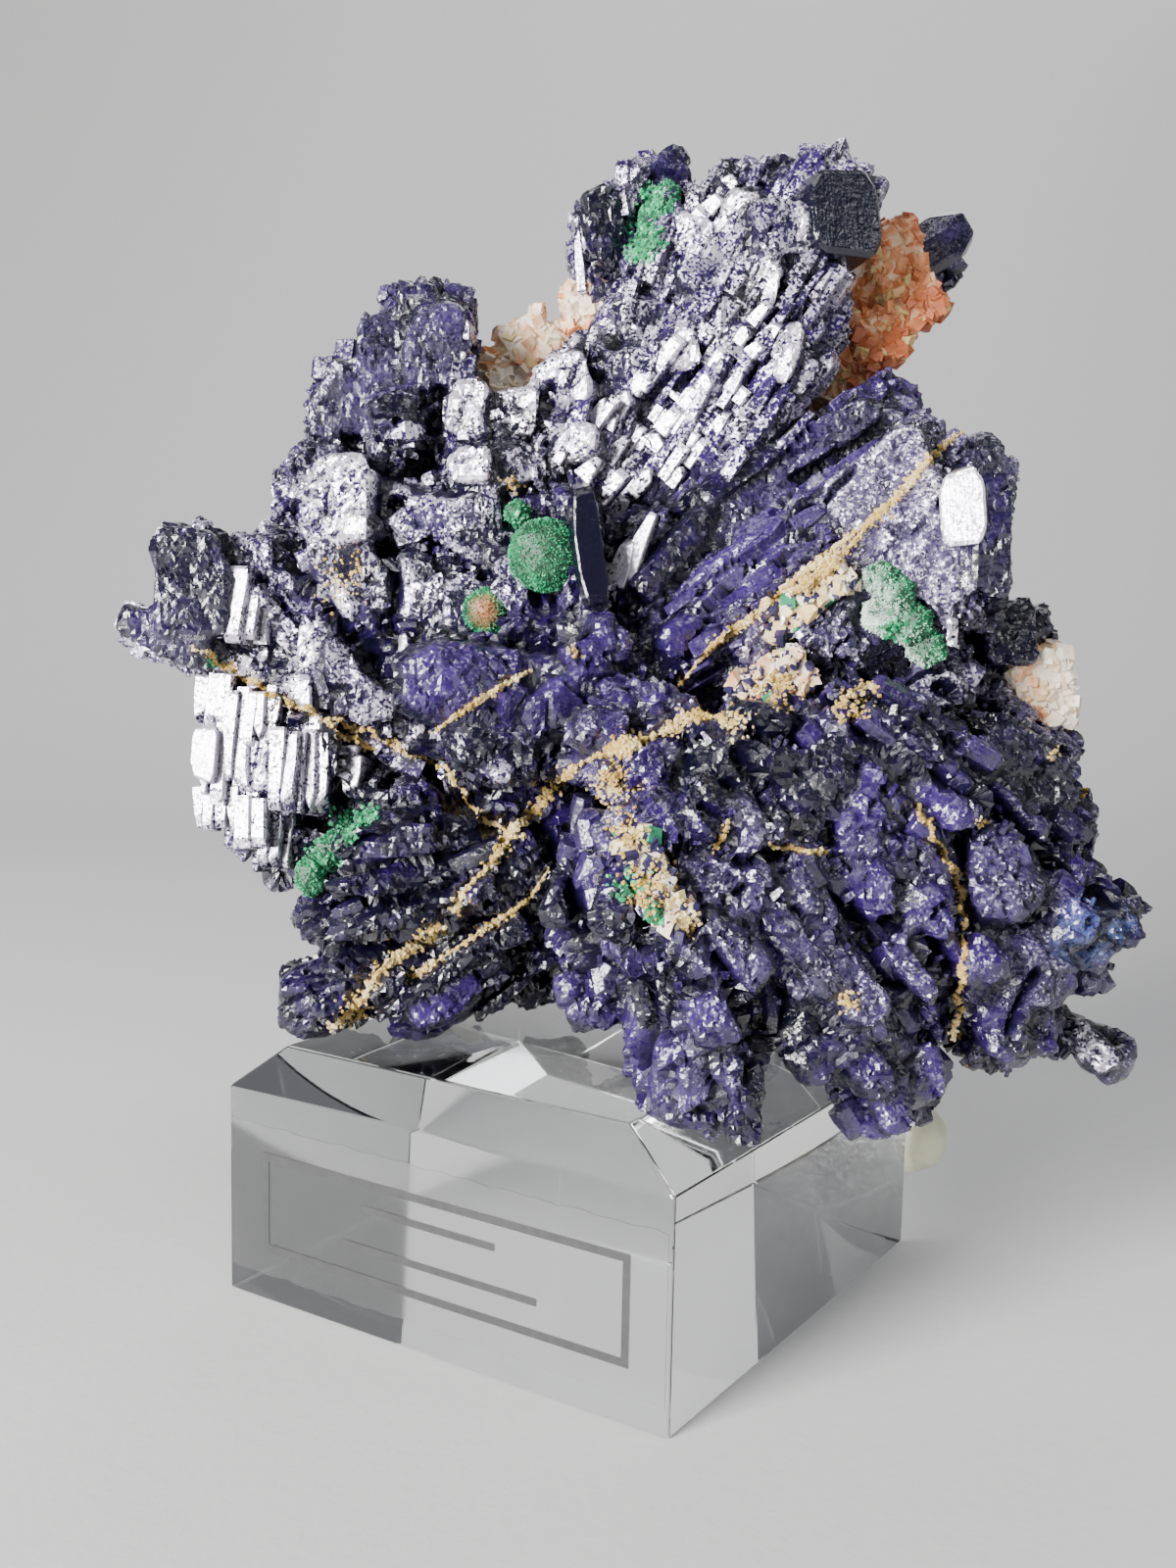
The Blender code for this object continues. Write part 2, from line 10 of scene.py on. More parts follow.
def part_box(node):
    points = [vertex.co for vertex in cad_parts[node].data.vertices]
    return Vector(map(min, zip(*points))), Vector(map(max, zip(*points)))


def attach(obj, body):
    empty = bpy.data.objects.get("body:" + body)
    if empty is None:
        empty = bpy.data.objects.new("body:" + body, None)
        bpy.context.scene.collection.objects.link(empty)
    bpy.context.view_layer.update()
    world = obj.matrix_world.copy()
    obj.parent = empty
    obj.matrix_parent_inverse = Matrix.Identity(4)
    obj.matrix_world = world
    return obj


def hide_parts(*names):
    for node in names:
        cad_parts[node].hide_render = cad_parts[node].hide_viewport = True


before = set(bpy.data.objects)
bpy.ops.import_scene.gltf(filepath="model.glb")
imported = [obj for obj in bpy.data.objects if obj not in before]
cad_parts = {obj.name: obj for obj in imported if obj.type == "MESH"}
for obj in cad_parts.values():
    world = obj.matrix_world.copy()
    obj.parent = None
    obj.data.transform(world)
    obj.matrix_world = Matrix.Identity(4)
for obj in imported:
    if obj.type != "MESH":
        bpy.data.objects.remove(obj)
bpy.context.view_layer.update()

bl_info = {
    "name": "Azurite Specimen Finish",
    "version": (1, 0, 0),
    "blender": (4, 5, 0),
    "location": "3D View > Sidebar > Specimen",
    "description": "Dresses an azurite specimen and its clear display block",
    "category": "Object",
}

MM = 0.001
BODY = "root"

# The specimen stands upright in a frame of its own, in millimetres: x to the right across its broad
# front, y away from the front, z up.  This turn about the vertical takes it to the block's frame.
SPECIMEN_TURN = math.radians(33.0)

# Display block, in millimetres
BLOCK_SIDE = 50.0
BLOCK_HEIGHT = 25.0
SHOULDER_HEIGHT = 20.5
SIDE_SLOPE = 5.7
FRONT_SLOPE = 2.1
FLOOR_GAP = 0.05

# Picture frame that sight points are given in, and the camera that sees it
PICTURE = (1200, 1600)
CAMERA_SPOT = (84.7, -130.7, 67.1)
CAMERA_AZIMUTH = math.radians(33.04)
CAMERA_ELEVATION = math.radians(6.32)
CAMERA_ROLL = math.radians(1.11)
CAMERA_LENS = 36.0
SENSOR = 36.0
# The focal length, and one millimetre at the specimen, both in picture units
FOCAL = CAMERA_LENS / SENSOR * max(PICTURE)
UNITS_PER_MM = 10.5

# The key light, its azimuth counted from the camera's, in degrees, and its distance in metres
KEY_LIGHT = (-42.0, 12.0, 0.62)
# The other lights likewise
OVER_LIGHT = (10, 66, 0.90)
REAR_LIGHT = (170, 38, 0.90)
SIDE_LIGHT = (75, 22, 0.80)
# The spot that every light is aimed at, in metres
LIGHT_AIM = (0, 0, 0.06)
WORLD_STRENGTH = 0.15

# The larger crystals of each growth group: root point, heading (0 right, 90 up), lean away from the
# front, length, width, thickness
GROUPS = {
    "upper": [
        ((17, 4.6, 96), 66, 4, 18.2, 9.6, 14.0), ((1, 8, 95), 97, 2, 15.3, 5.4, 6.6),
        ((1, 3, 72), 57, 0, 41, 15, 11), ((-2, 3, 80), 67, 5, 32, 9, 9), ((6, 4, 86), 68, 2, 27, 9, 9),
        ((14, 5, 98), 75, 3, 15, 8, 9), ((3, -2, 72), 57, 2, 30, 9, 8), ((8, -3, 76), 52, 6, 23, 5, 8),
        ((-5, -2, 74), 71, 8, 22, 9, 9), ((5, 8, 96), 93, 4, 17, 9, 8)],
    "horn": [
        ((-20, 1, 71), 83, 8, 29, 9, 12), ((-26, 0, 74), 85, 10, 19, 7, 9), ((-16, 0, 78), 84, 8, 17, 5, 9),
        ((-19, -5, 78), 92, 3, 10, 4, 7)],
    "field": [
        ((-24, -6, 70), 96, 2, 12, 7.4, 10), ((-26, -2, 69), 98, 4, 14, 7, 9),
        ((-15, -5, 66), 97, 3, 15, 7, 9), ((-12, -4, 74), 85, 4, 14, 7, 9), ((-6, -4, 72), 101, 4, 15, 7, 9),
        ((-8, -6, 62), 103, 2, 15, 8, 9), ((-15, -6, 58), 107, 0, 13, 8, 9),
        ((-20, -6, 58), 109, 0, 14, 8, 9), ((-3, -8, 59), 104, 0, 12, 8, 9)],
    "arm": [
        ((-37, -6, 62), 93, 0, 13.3, 7.4, 8.6), ((-13, -2, 54), 136, 4, 29, 11, 12),
        ((-33, -5, 60), 157, 4, 14, 4, 6), ((-29, -3, 61), 122, 2, 14, 8, 10),
        ((-15, -3, 54), 155, 0, 22, 9, 11)],
    "columns": [
        ((-33, -4, 62), 262, -6, 16, 6, 9), ((-30, -5, 61), 263, -6, 18, 5, 9),
        ((-27, -5, 58), 270, -6, 12, 5, 9), ((-28, -4, 54), 264, -5, 14, 5, 8),
        ((-24, -4, 58), 270, -6, 12, 5, 8)],
    "heart": [
        ((-1, -11, 66), 92, 3, 14.3, 5.2, 7.6), ((-1, -11, 61), 180, -3, 17, 8, 10),
        ((1, -11, 56), 190, -3, 16, 6, 9), ((4, -11, 57), 133, 0, 13, 8, 10)],
    "rosette": [
        ((-2, -5, 45), 190, -3, 27, 9, 13), ((-3, -5, 39), 204, -1, 30, 7, 11),
        ((-2, -4, 37), 213, -3, 21, 6, 10), ((-8, -4, 49), 191, 0, 19, 6, 9),
        ((-5, -8, 46), 203, -3, 25, 7, 9), ((-1, -2, 38), 223, -3, 11, 6, 9),
        ((-3, -1, 33), 237, 0, 7, 5, 8)],
    "rays": [
        ((4.0, -7.2, 65), 77, 3, 13.2, 6.6, 9.6), ((1, -3, 67), 36, 8, 38, 7, 9),
        ((3, -6, 63), 34, 3, 38, 8, 10), ((2, -9, 59), 34, 0, 27, 7, 9)],
    "slab": [
        ((35, -12, 69), 98, 2, 12.2, 5.4, 8.2), ((35.4, -4, 66), 83, 3, 18.0, 4.8, 12.2),
        ((17, -9, 57), 55, 3, 29, 13, 13), ((24, -9, 53), 43, 5, 16, 8, 12)],
    "edge": [
        ((35, 0, 58), 44, 5, 14, 6, 10), ((29, -5, 60), 324, 0, 25, 7, 11),
        ((36, -2, 62), 318, 0, 15, 6, 9)],
    "fan": [
        ((9, -19, 51), 151, 0, 13, 6, 10), ((10, -18, 53), 139, 3, 12, 6, 10),
        ((3, -23, 49), 259, 0, 17, 7, 11), ((5, -24, 51), 282, -10, 29, 11, 13),
        ((9, -24, 51), 305, 5, 34, 9, 13), ((11, -23, 53), 309, 9, 33, 8, 13),
        ((16, -20, 56), 315, 12, 38, 10, 13), ((20, -18, 56), 325, 14, 38, 11, 13),
        ((22, -14, 59), 332, 12, 29, 6, 11), ((40, -10, 31), 330, 6, 13, 4, 6),
        ((28, -14, 37), 322, 6, 18, 7, 9), ((22, -18, 36), 300, 4, 17, 8, 10)],
    "back": [
        ((20, 14, 88), 49, 4, 26, 8.4, 6.6), ((4, 7, 62), 22, 12, 34, 11, 9),
        ((6, 7, 60), 50, 14, 36, 12, 8), ((4, 11, 62), 76, 12, 38, 13, 8), ((0, 9, 64), 108, 14, 27, 11, 8),
        ((-4, 7, 60), 146, 12, 29, 11, 9), ((-6, 6, 58), 180, 12, 26, 10, 9),
        ((-4, 6, 53), 212, 10, 24, 11, 9), ((4, 5, 52), 274, 20, 17, 10, 9),
        ((8, 5, 53), 322, 12, 28, 12, 9), ((12, 5, 58), 357, 14, 28, 11, 9), ((2, 9, 60), 60, 38, 20, 9, 8),
        ((0, 9, 58), 146, 38, 18, 9, 8), ((4, 8, 55), 320, 38, 18, 9, 8), ((0, 8, 55), 215, 38, 16, 8, 8),
        ((-6, 4, 44), 232, 12, 17, 11, 9), ((-4, 4, 44), 262, 14, 15, 9, 9),
        ((16, 3, 52), 305, 14, 24, 11, 9)],
}
# Kinds of the crystals that stand out: seed shape, thickness against width, how far they stand out in
# millimetres, turn of the broad face (None faces the light's glint), shares of painted glint (a pale
# silvery base colour standing in for the key light's glints), violet and frost
KINDS = {
    "glinting_column": ("lath", 1.4, 0.9, None, (0.74, 0.30, 0.10)),
    "glinting_lath": ("lath", 0.7, 1.2, None, (0.72, 0.35, 0.12)),
    "silver_block": ("block", 0.6, 0.9, None, (0.60, 0.35, 0.16)),
    "mirror": ("block", 0.5, 1.7, None, (1.10, 0.10, 0.20)),
    "pale_face": ("lath", 0.5, 2.0, None, (0.92, 0.10, 0.20)),
    "grey_block": ("block", 0.6, 0.8, 8, (0.40, 0.30, 0.26)),
    "lilac_block": ("block", 0.6, 0.7, 4, (0.05, 0.26, 0.48)),
    "pale_block": ("block", 0.6, 0.7, -2, (0.38, 0.10, 1.00)),
    "dusk_block": ("block", 0.7, 1.2, 12, (-0.06, 0.06, 0.20)),
    "dark_face": ("block", 0.8, 1.3, 20, (-0.40, -1.00, 0.00)),
    "dark_block": ("block", 0.7, 1.2, 22, (-0.10, -0.10, 0.03)),
    "dark_lath": ("lath", 0.8, 1.2, 16, (-0.04, -0.05, 0.04)),
    "dark_tile": ("tile", 0.6, 1.2, 8, (-0.05, -0.10, 0.30)),
    "violet_scale": ("tile", 0.7, 1.1, 6, (0.02, 0.60, 0.22)),
    "lilac_scale": ("tile", 0.6, 1.0, 2, (0.14, 0.40, 0.44)),
    "dark_scale": ("tile", 0.7, 1.3, 14, (0.00, 0.10, 0.08)),
    "silver_scale": ("tile", 0.5, 0.8, -8, (0.50, 0.30, 0.30)),
}
# Kinds with clean faces, which stand on the druse; the others have grown into it
CLEAN_KINDS = ("glinting_column", "glinting_lath", "mirror", "pale_face", "dark_face", "dark_tile")
# A crystal of these kinds is a bundle of columns: how wide and how long each is, in picture units, and
# how much it overlaps its neighbours
BUNDLES = {"glinting_column": (12, 90, 1.35), "glinting_lath": (12, 30, 1.15)}

# The crystals that stand out, as sight points of their foot and tip with their width, in picture units
CRYSTALS = {
    "glinting_column": [
        (216, 738, 210, 818, 36), (222, 688, 216, 742, 34), (244, 698, 243, 800, 23),
        (263, 704, 262, 762, 18), (292, 742, 292, 832, 26), (318, 742, 320, 834, 38),
        (362, 772, 361, 815, 16), (246, 575, 245, 660, 17), (266, 606, 265, 656, 21),
        (222, 798, 224, 848, 42), (284, 826, 283, 886, 32), (258, 812, 260, 866, 28)],
    "glinting_lath": [
        (614, 602, 609, 512, 9), (595, 494, 655, 430, 17), (610, 514, 672, 446, 15),
        (628, 530, 672, 478, 13), (640, 472, 694, 398, 18), (664, 462, 716, 394, 16),
        (682, 494, 722, 440, 22), (700, 420, 745, 352, 13), (728, 448, 766, 398, 11),
        (752, 354, 788, 308, 12), (764, 366, 800, 330, 13), (574, 478, 628, 408, 18),
        (700, 242, 756, 178, 15), (620, 440, 668, 372, 17), (655, 400, 700, 340, 16),
        (748, 402, 770, 368, 12), (690, 446, 706, 424, 14)],
    "silver_block": [
        (345, 556, 341, 456, 78), (270, 750, 270, 812, 30), (320, 634, 323, 690, 32),
        (302, 690, 306, 736, 36), (472, 442, 478, 384, 44), (528, 442, 530, 394, 56),
        (575, 414, 572, 354, 68), (588, 476, 576, 432, 62), (482, 494, 480, 452, 46),
        (408, 506, 405, 482, 28), (345, 640, 344, 600, 42), (410, 678, 408, 644, 24),
        (772, 322, 786, 264, 46), (706, 262, 712, 216, 38), (745, 248, 762, 190, 40),
        (700, 380, 702, 330, 40), (795, 392, 812, 326, 30), (975, 664, 976, 634, 22),
        (812, 246, 822, 214, 26), (988, 604, 998, 560, 17)],
    "mirror": [(989, 558, 982, 476, 42), (216, 745, 213, 800, 26)],
    "pale_face": [(634, 602, 650, 548, 20), (644, 590, 676, 526, 22)],
    "grey_block": [
        (350, 602, 350, 552, 80), (434, 550, 432, 504, 60), (426, 644, 424, 562, 62),
        (490, 566, 486, 498, 52), (482, 640, 480, 582, 50), (258, 592, 258, 546, 42),
        (292, 628, 290, 580, 36), (350, 700, 346, 642, 32), (382, 736, 378, 682, 42),
        (664, 366, 662, 300, 62), (736, 344, 738, 276, 18), (640, 406, 640, 352, 48),
        (702, 300, 722, 262, 40), (800, 262, 802, 200, 66), (958, 734, 948, 686, 54),
        (520, 620, 518, 560, 40)],
    "lilac_block": [
        (440, 402, 446, 300, 60), (388, 398, 394, 312, 50), (350, 444, 356, 362, 48),
        (332, 450, 334, 384, 32), (440, 452, 438, 412, 40), (690, 574, 822, 476, 42),
        (760, 488, 900, 408, 40)],
    "pale_block": [(936, 616, 948, 508, 88), (850, 530, 952, 446, 60), (862, 468, 928, 424, 46)],
    "dusk_block": [
        (197, 650, 196, 532, 74), (214, 672, 116, 628, 35), (1008, 612, 1012, 444, 36),
        (678, 200, 664, 164, 60), (1030, 684, 1026, 606, 56), (985, 735, 1118, 842, 46),
        (426, 326, 425, 288, 40)],
    "dark_face": [(846, 276, 866, 160, 82), (602, 622, 591, 488, 26)],
    "dark_tile": [(914, 276, 990, 226, 56)],
    "dark_block": [
        (630, 280, 605, 188, 42), (396, 428, 398, 400, 38), (339, 748, 340, 800, 11),
        (812, 554, 818, 504, 24), (765, 762, 782, 716, 44), (790, 800, 800, 762, 36)],
    "dark_lath": [
        (590, 952, 484, 1042, 22), (500, 960, 384, 1040, 24), (446, 858, 332, 868, 40),
        (436, 900, 328, 904, 36), (470, 930, 352, 948, 34), (446, 962, 322, 988, 36),
        (462, 832, 386, 846, 30), (390, 806, 334, 808, 28), (640, 606, 740, 512, 30),
        (700, 520, 800, 452, 24), (560, 900, 480, 926, 26), (540, 944, 470, 980, 26)],
    "violet_scale": [
        (535, 702, 404, 696, 78), (602, 704, 540, 744, 48), (640, 640, 576, 684, 54),
        (560, 822, 506, 800, 42), (600, 986, 618, 1048, 62), (720, 1010, 748, 1068, 50),
        (860, 800, 892, 852, 50), (862, 858, 902, 936, 60), (930, 878, 962, 956, 50),
        (1002, 808, 1062, 872, 50), (1060, 900, 1118, 956, 60), (950, 1006, 968, 1066, 38),
        (900, 1108, 926, 1156, 38), (932, 1068, 956, 1124, 40), (722, 1080, 732, 1184, 46),
        (1058, 1028, 1070, 1078, 32), (1000, 1000, 1038, 1080, 60), (940, 788, 1002, 832, 50),
        (480, 1000, 420, 1042, 44), (726, 640, 668, 668, 46)],
    "lilac_scale": [
        (640, 748, 584, 740, 44), (650, 858, 702, 904, 50), (740, 868, 772, 934, 60),
        (800, 878, 842, 954, 60), (1000, 862, 1052, 928, 80), (1030, 960, 1092, 1016, 70),
        (710, 948, 782, 1002, 50), (850, 980, 902, 1042, 52), (640, 1058, 692, 1156, 62),
        (680, 1120, 702, 1192, 50), (740, 828, 802, 852, 40), (900, 960, 952, 1022, 52),
        (398, 992, 296, 1046, 56), (790, 958, 852, 1014, 50), (620, 828, 652, 874, 50)],
    "dark_scale": [
        (700, 736, 732, 794, 52), (850, 722, 904, 796, 62), (902, 728, 962, 782, 42),
        (790, 788, 842, 842, 50), (700, 798, 742, 852, 50), (830, 758, 862, 804, 42),
        (670, 988, 692, 1046, 50), (800, 1038, 852, 1094, 50), (860, 1050, 912, 1114, 46),
        (760, 1078, 766, 1172, 38), (560, 1002, 518, 1036, 40), (552, 738, 458, 772, 50),
        (602, 878, 572, 950, 44), (640, 886, 622, 958, 42), (1128, 930, 1162, 962, 32),
        (650, 770, 690, 800, 44), (740, 752, 762, 800, 40)],
    "silver_scale": [(780, 1058, 832, 1108, 42), (1092, 1046, 1136, 1092, 36), (520, 794, 484, 770, 26)],
}
# How each group grows: ledge length, ledge width, how far ledges stand out, tip lift in degrees,
# cover of ledges, cover of grains, the way the faces of the front lean, seed shape, relief of the
# skin (scale length, scale width, height, rise) and the tint: shares of painted glint (a pale silvery
# base colour standing in for the key light's glints), violet and frost
HABITS = {
    "upper": ((3.0, 8.0), (0.8, 1.9), (0.4, 1.2), 1.5, 0.90, 0.05, (-0.37, 0.0), "lath",
              (5.0, 2.0, 0.22, 0.04), (0.46, 0.50, 0.14)),
    "horn": ((1.5, 4.0), (1.0, 2.4), (0.1, 0.6), 3, 0.15, 0.08, (-0.14, 0.05), "lath",
             (3.4, 2.4, 0.45, 0.06), (0.06, 0.28, 0.44)),
    "field": ((1.4, 3.4), (1.0, 2.6), (0.1, 0.8), 3, 0.22, 0.08, (-0.27, 0.08), "lath",
              (3.2, 2.6, 0.55, 0.06), (0.37, 0.34, 0.20)),
    "arm": ((1.4, 3.4), (0.9, 2.0), (0.1, 0.7), 2, 0.22, 0.06, (-0.24, 0.12), "lath",
            (3.4, 2.2, 0.45, 0.05), (0.58, 0.30, 0.20)),
    "columns": ((3.0, 7.0), (0.9, 2.0), (0.1, 0.6), 0, 0.25, 0.03, (-0.22, 0.14), "lath",
                (6.0, 2.0, 0.30, 0.02), (0.60, 0.30, 0.16)),
    "heart": ((2.0, 4.0), (1.2, 2.4), (0.1, 0.5), 5, 0.06, 0.04, (0.0, 0.0), "scale",
              (3.6, 2.6, 0.60, 0.10), (0.00, 0.22, 0.04)),
    "rosette": ((3.0, 6.0), (1.6, 3.0), (0.2, 0.8), 9, 0.14, 0.02, (0.0, 0.05), "scale",
                (4.6, 2.6, 0.80, 0.14), (0.01, 0.05, 0.06)),
    "rays": ((3.0, 8.0), (0.8, 1.8), (0.1, 0.5), 2, 0.20, 0.06, (0.05, 0.0), "lath",
             (5.0, 1.8, 0.45, 0.04), (0.12, 0.80, 0.44)),
    "slab": ((2.0, 4.6), (1.4, 3.2), (0.05, 0.3), 1, 0.08, 0.10, (-0.16, 0.0), "lath",
             (5.0, 4.0, 0.30, 0.03), (0.34, 0.20, 0.80)),
    "edge": ((2.0, 4.0), (1.2, 2.4), (0.1, 0.5), 5, 0.08, 0.12, (0.1, 0.0), "scale",
             (3.0, 2.4, 0.50, 0.08), (0.16, 0.28, 0.34)),
    "fan": ((3.0, 5.5), (1.8, 3.2), (0.2, 0.9), 13, 0.26, 0.03, (-0.05, 0.05), "scale",
            (4.6, 3.0, 0.90, 0.16), (0.06, 0.42, 0.28)),
    "back": ((2.4, 6.0), (1.6, 3.2), (0.1, 0.9), 5, 0.32, 0.01, (0, 0), "scale",
             (4.6, 3.0, 0.80, 0.10), (0.14, 0.36, 0.30)),
}

# Crevices between crystals, cut in and darkened with painted shade: sight points, width in picture units
# and depth in millimetres
CREVICES = [
    ([(284, 520), (298, 560), (318, 600), (340, 636), (366, 655), (384, 680), (396, 696)], 8, 3.0),
    ([(396, 566), (402, 590), (404, 612), (398, 640), (394, 662)], 6, 2.4),
    ([(432, 556), (455, 564), (470, 575), (500, 590)], 4, 1.6),
    ([(428, 780), (450, 792), (466, 812), (478, 834), (508, 850)], 11, 3.5),
    ([(262, 700), (290, 718), (325, 737), (362, 748), (400, 762)], 4, 1.6),
    ([(388, 462), (412, 484), (432, 474)], 9, 3.0), ([(600, 352), (614, 384)], 5, 2.0),
    ([(656, 900), (662, 960), (668, 1020), (662, 1080)], 7, 2.4),
    ([(716, 962), (750, 1010), (776, 1052), (772, 1100)], 8, 3.0),
    ([(852, 900), (874, 940), (900, 990), (938, 1030)], 7, 2.8),
    ([(940, 962), (968, 990), (976, 1060)], 9, 3.0), ([(984, 850), (980, 900), (986, 960)], 5, 2.4),
    ([(1030, 1050), (1046, 1010), (1060, 990)], 4, 1.6), ([(640, 880), (655, 920), (660, 960)], 5, 2.0),
    ([(575, 870), (592, 930), (600, 985)], 8, 3.0),
    ([(880, 738), (930, 772), (960, 792), (1000, 806), (1062, 862)], 9, 3.0),
    ([(960, 700), (990, 716), (1010, 730)], 7, 2.6), ([(330, 886), (420, 882), (500, 872)], 5, 2.0),
    ([(330, 926), (400, 922), (452, 908)], 5, 2.0), ([(345, 968), (420, 957), (470, 944)], 5, 2.0),
    ([(316, 880), (345, 862), (400, 845)], 5, 2.0), ([(520, 650), (560, 656), (600, 640)], 6, 2.4),
    ([(546, 832), (560, 858), (566, 884)], 6, 2.4), ([(714, 336), (724, 366), (712, 388)], 4, 2.0),
    ([(806, 290), (800, 318), (772, 350), (756, 362)], 7, 2.4),
    ([(778, 372), (770, 400), (752, 430)], 7, 2.4), ([(560, 395), (552, 440)], 5, 2.0),
    ([(680, 740), (700, 760), (690, 800)], 6, 2.0), ([(752, 770), (780, 800), (790, 830)], 6, 2.0),
    ([(735, 870), (760, 880), (800, 868)], 5, 2.0), ([(860, 700), (880, 712), (920, 722)], 5, 2.0),
    ([(760, 742), (790, 756), (830, 742)], 5, 2.0), ([(1068, 870), (1100, 905), (1140, 920)], 6, 2.0),
    ([(770, 560), (830, 520), (870, 478)], 4, 1.6), ([(700, 470), (790, 440), (850, 410)], 5, 2.0),
    ([(1000, 612), (985, 640), (996, 690)], 6, 2.4), ([(348, 742), (346, 800), (352, 840)], 7, 2.6),
    ([(300, 838), (330, 842), (352, 828)], 6, 2.4), ([(450, 400), (440, 440)], 6, 2.0),
]
# Ochre seams as sight points in the picture frame, with their width in millimetres
SEAMS = {
    "upper_right": ([(982, 442), (940, 478), (882, 538), (846, 566), (812, 590),
                     (770, 625), (738, 652), (690, 700)], 0.9),
    "cream_band": ([(905, 520), (868, 556), (830, 588), (806, 606)], 2.6),
    "centre": ([(702, 738), (660, 752), (625, 765), (590, 782), (562, 806), (540, 830)], 2.0),
    "centre_low": ([(540, 830), (517, 858), (500, 878), (482, 902), (462, 930)], 1.7),
    "rosette": ([(450, 942), (412, 974), (390, 992), (372, 1014), (352, 1036), (336, 1052)], 1.5),
    "rosette_low": ([(562, 888), (534, 920), (506, 938), (480, 958), (440, 984), (420, 1000)], 1.2),
    "heart": ([(542, 684), (512, 700), (470, 728), (440, 752)], 0.6),
    "left": ([(196, 658), (240, 686), (286, 712), (330, 732), (380, 748), (418, 770)], 0.8),
    "left_low": ([(330, 735), (352, 752), (386, 764)], 0.9),
    "gap_rim": ([(418, 770), (450, 780), (470, 806), (486, 830), (512, 846), (536, 856)], 0.7),
    "fan_rim": ([(936, 822), (952, 850), (978, 898), (984, 940), (983, 983), (978, 1030), (974, 1062)], 0.9),
    "fan_cross": ([(784, 860), (812, 868), (846, 868)], 0.6),
    "fan_spot": ([(744, 838), (734, 856), (726, 870)], 1.4),
    "fan_head": ([(690, 735), (716, 728), (742, 736)], 1.2),
    "shelf": ([(850, 728), (874, 706), (896, 700)], 1.2),
}

# Loose ochre and cream patches: sight point, reach in millimetres, number of grains
SPECKS = [
    ((520, 495), 0.9, 26), ((625, 800), 2.4, 150), ((640, 850), 1.8, 90), ((362, 1032), 1.6, 80),
    ((665, 905), 2.6, 150), ((700, 940), 1.4, 50), ((350, 590), 2.4, 60), ((795, 700), 2.2, 90),
    ((870, 720), 1.6, 60), ((750, 738), 1.4, 50), ((1000, 840), 0.6, 14), ((1076, 770), 0.6, 14),
    ((1106, 808), 0.5, 10), ((865, 1020), 1.2, 30), ((980, 1090), 0.8, 16), ((585, 665), 0.6, 12),
]
# Malachite grains scattered over the azurite: sight point, reach in millimetres, number of grains
GREENS = [
    ((668, 208), 1.5, 240), ((660, 244), 1.5, 260), ((648, 258), 0.9, 90), ((352, 842), 1.5, 150),
    ((328, 880), 1.4, 150), ((375, 832), 0.8, 50), ((640, 905), 1.6, 34), ((668, 930), 1.2, 22),
    ((530, 528), 0.7, 50), ((912, 640), 1.2, 60), ((216, 676), 0.6, 20),
]
# Ledges on faces turned this far to the front share one common direction of their group, by this share
FRONT_LIMIT = -0.45
COMMON_SHARE = 0.85

# How much a scale's face turns towards its foot, so that its tip rises like a tile's
TILE_LIFT = 0.26

# The teal tinge: its sight point and its reach in millimetres
TEAL_POINT = (1106, 952)
TEAL_REACH = 4.5

# How far a ledge's tip may reach out of the surface, and how far ledges, crystals and grains keep off the
# display block, in millimetres
TIP_REACH = 0.9
BLOCK_MARGIN = 1.2
GRAIN_MARGIN = 1.0
SKIN_MARGIN = 1.5

# Ledges keep this far from malachite, and the relief is held this low within a reach of it, in millimetres
LEDGE_FROM_MALACHITE = 1.4
SKIN_FROM_MALACHITE = 1.0
LOW_BY_MALACHITE = -0.3

# The relief's lowest and highest place, its fine unevenness, and the share of a crevice's depth it takes
RELIEF_LIMITS = (-1.3, 1.1)
RELIEF_NOISE = 0.035
CREVICE_SHARE = 0.8

# Striae of neighbouring crystals are parted by shifting each one's pattern this far, in millimetres
STRAND_SHIFT = 50

# Rounds of smoothing that tell hollows from ridges, and how much painted shade a hollow gets for each
# millimetre
HOLLOW_ROUNDS = 12
HOLLOW_SHADE = 2.8

# A crystal's tint and painted glint, with the painted shade at its foot, reach this far from its middle,
# against its half size
EDGE_REACH = 1.15
UNIT_CORNERS = np.array([(x, y, z) for x in (-0.5, 0.5) for y in (-0.5, 0.5) for z in (0.0, 1.0)])

# How much of the painted glint on the druse shines like metal
SILVER_SHEEN = 0.7

# Colours in linear light
NAVY = (0.0026, 0.0020, 0.0105)
VIOLET = (0.021, 0.005, 0.088)
# Painted glint: a pale base colour that stands in for the key light's glints on the druse
PALE_GLINT = (0.76, 0.72, 0.83)
LILAC = (0.100, 0.080, 0.180)
TEAL = (0.070, 0.130, 0.360)
OCHRE = (0.50, 0.34, 0.085)
CREAM = (0.78, 0.66, 0.36)
RUST = (0.22, 0.09, 0.03)
MALACHITE = (0.010, 0.210, 0.085)
PUTTY = (0.80, 0.82, 0.60)


def length_setting(name, description, millimetres):
    """A length that a user would change."""
    return bpy.props.FloatProperty(
        name=name, description=description, default=millimetres * MM, unit="LENGTH")


def colour_setting(name, description, colour):
    """A colour that a user would change."""
    return bpy.props.FloatVectorProperty(
        name=name, description=description, subtype="COLOR", size=3, default=colour)


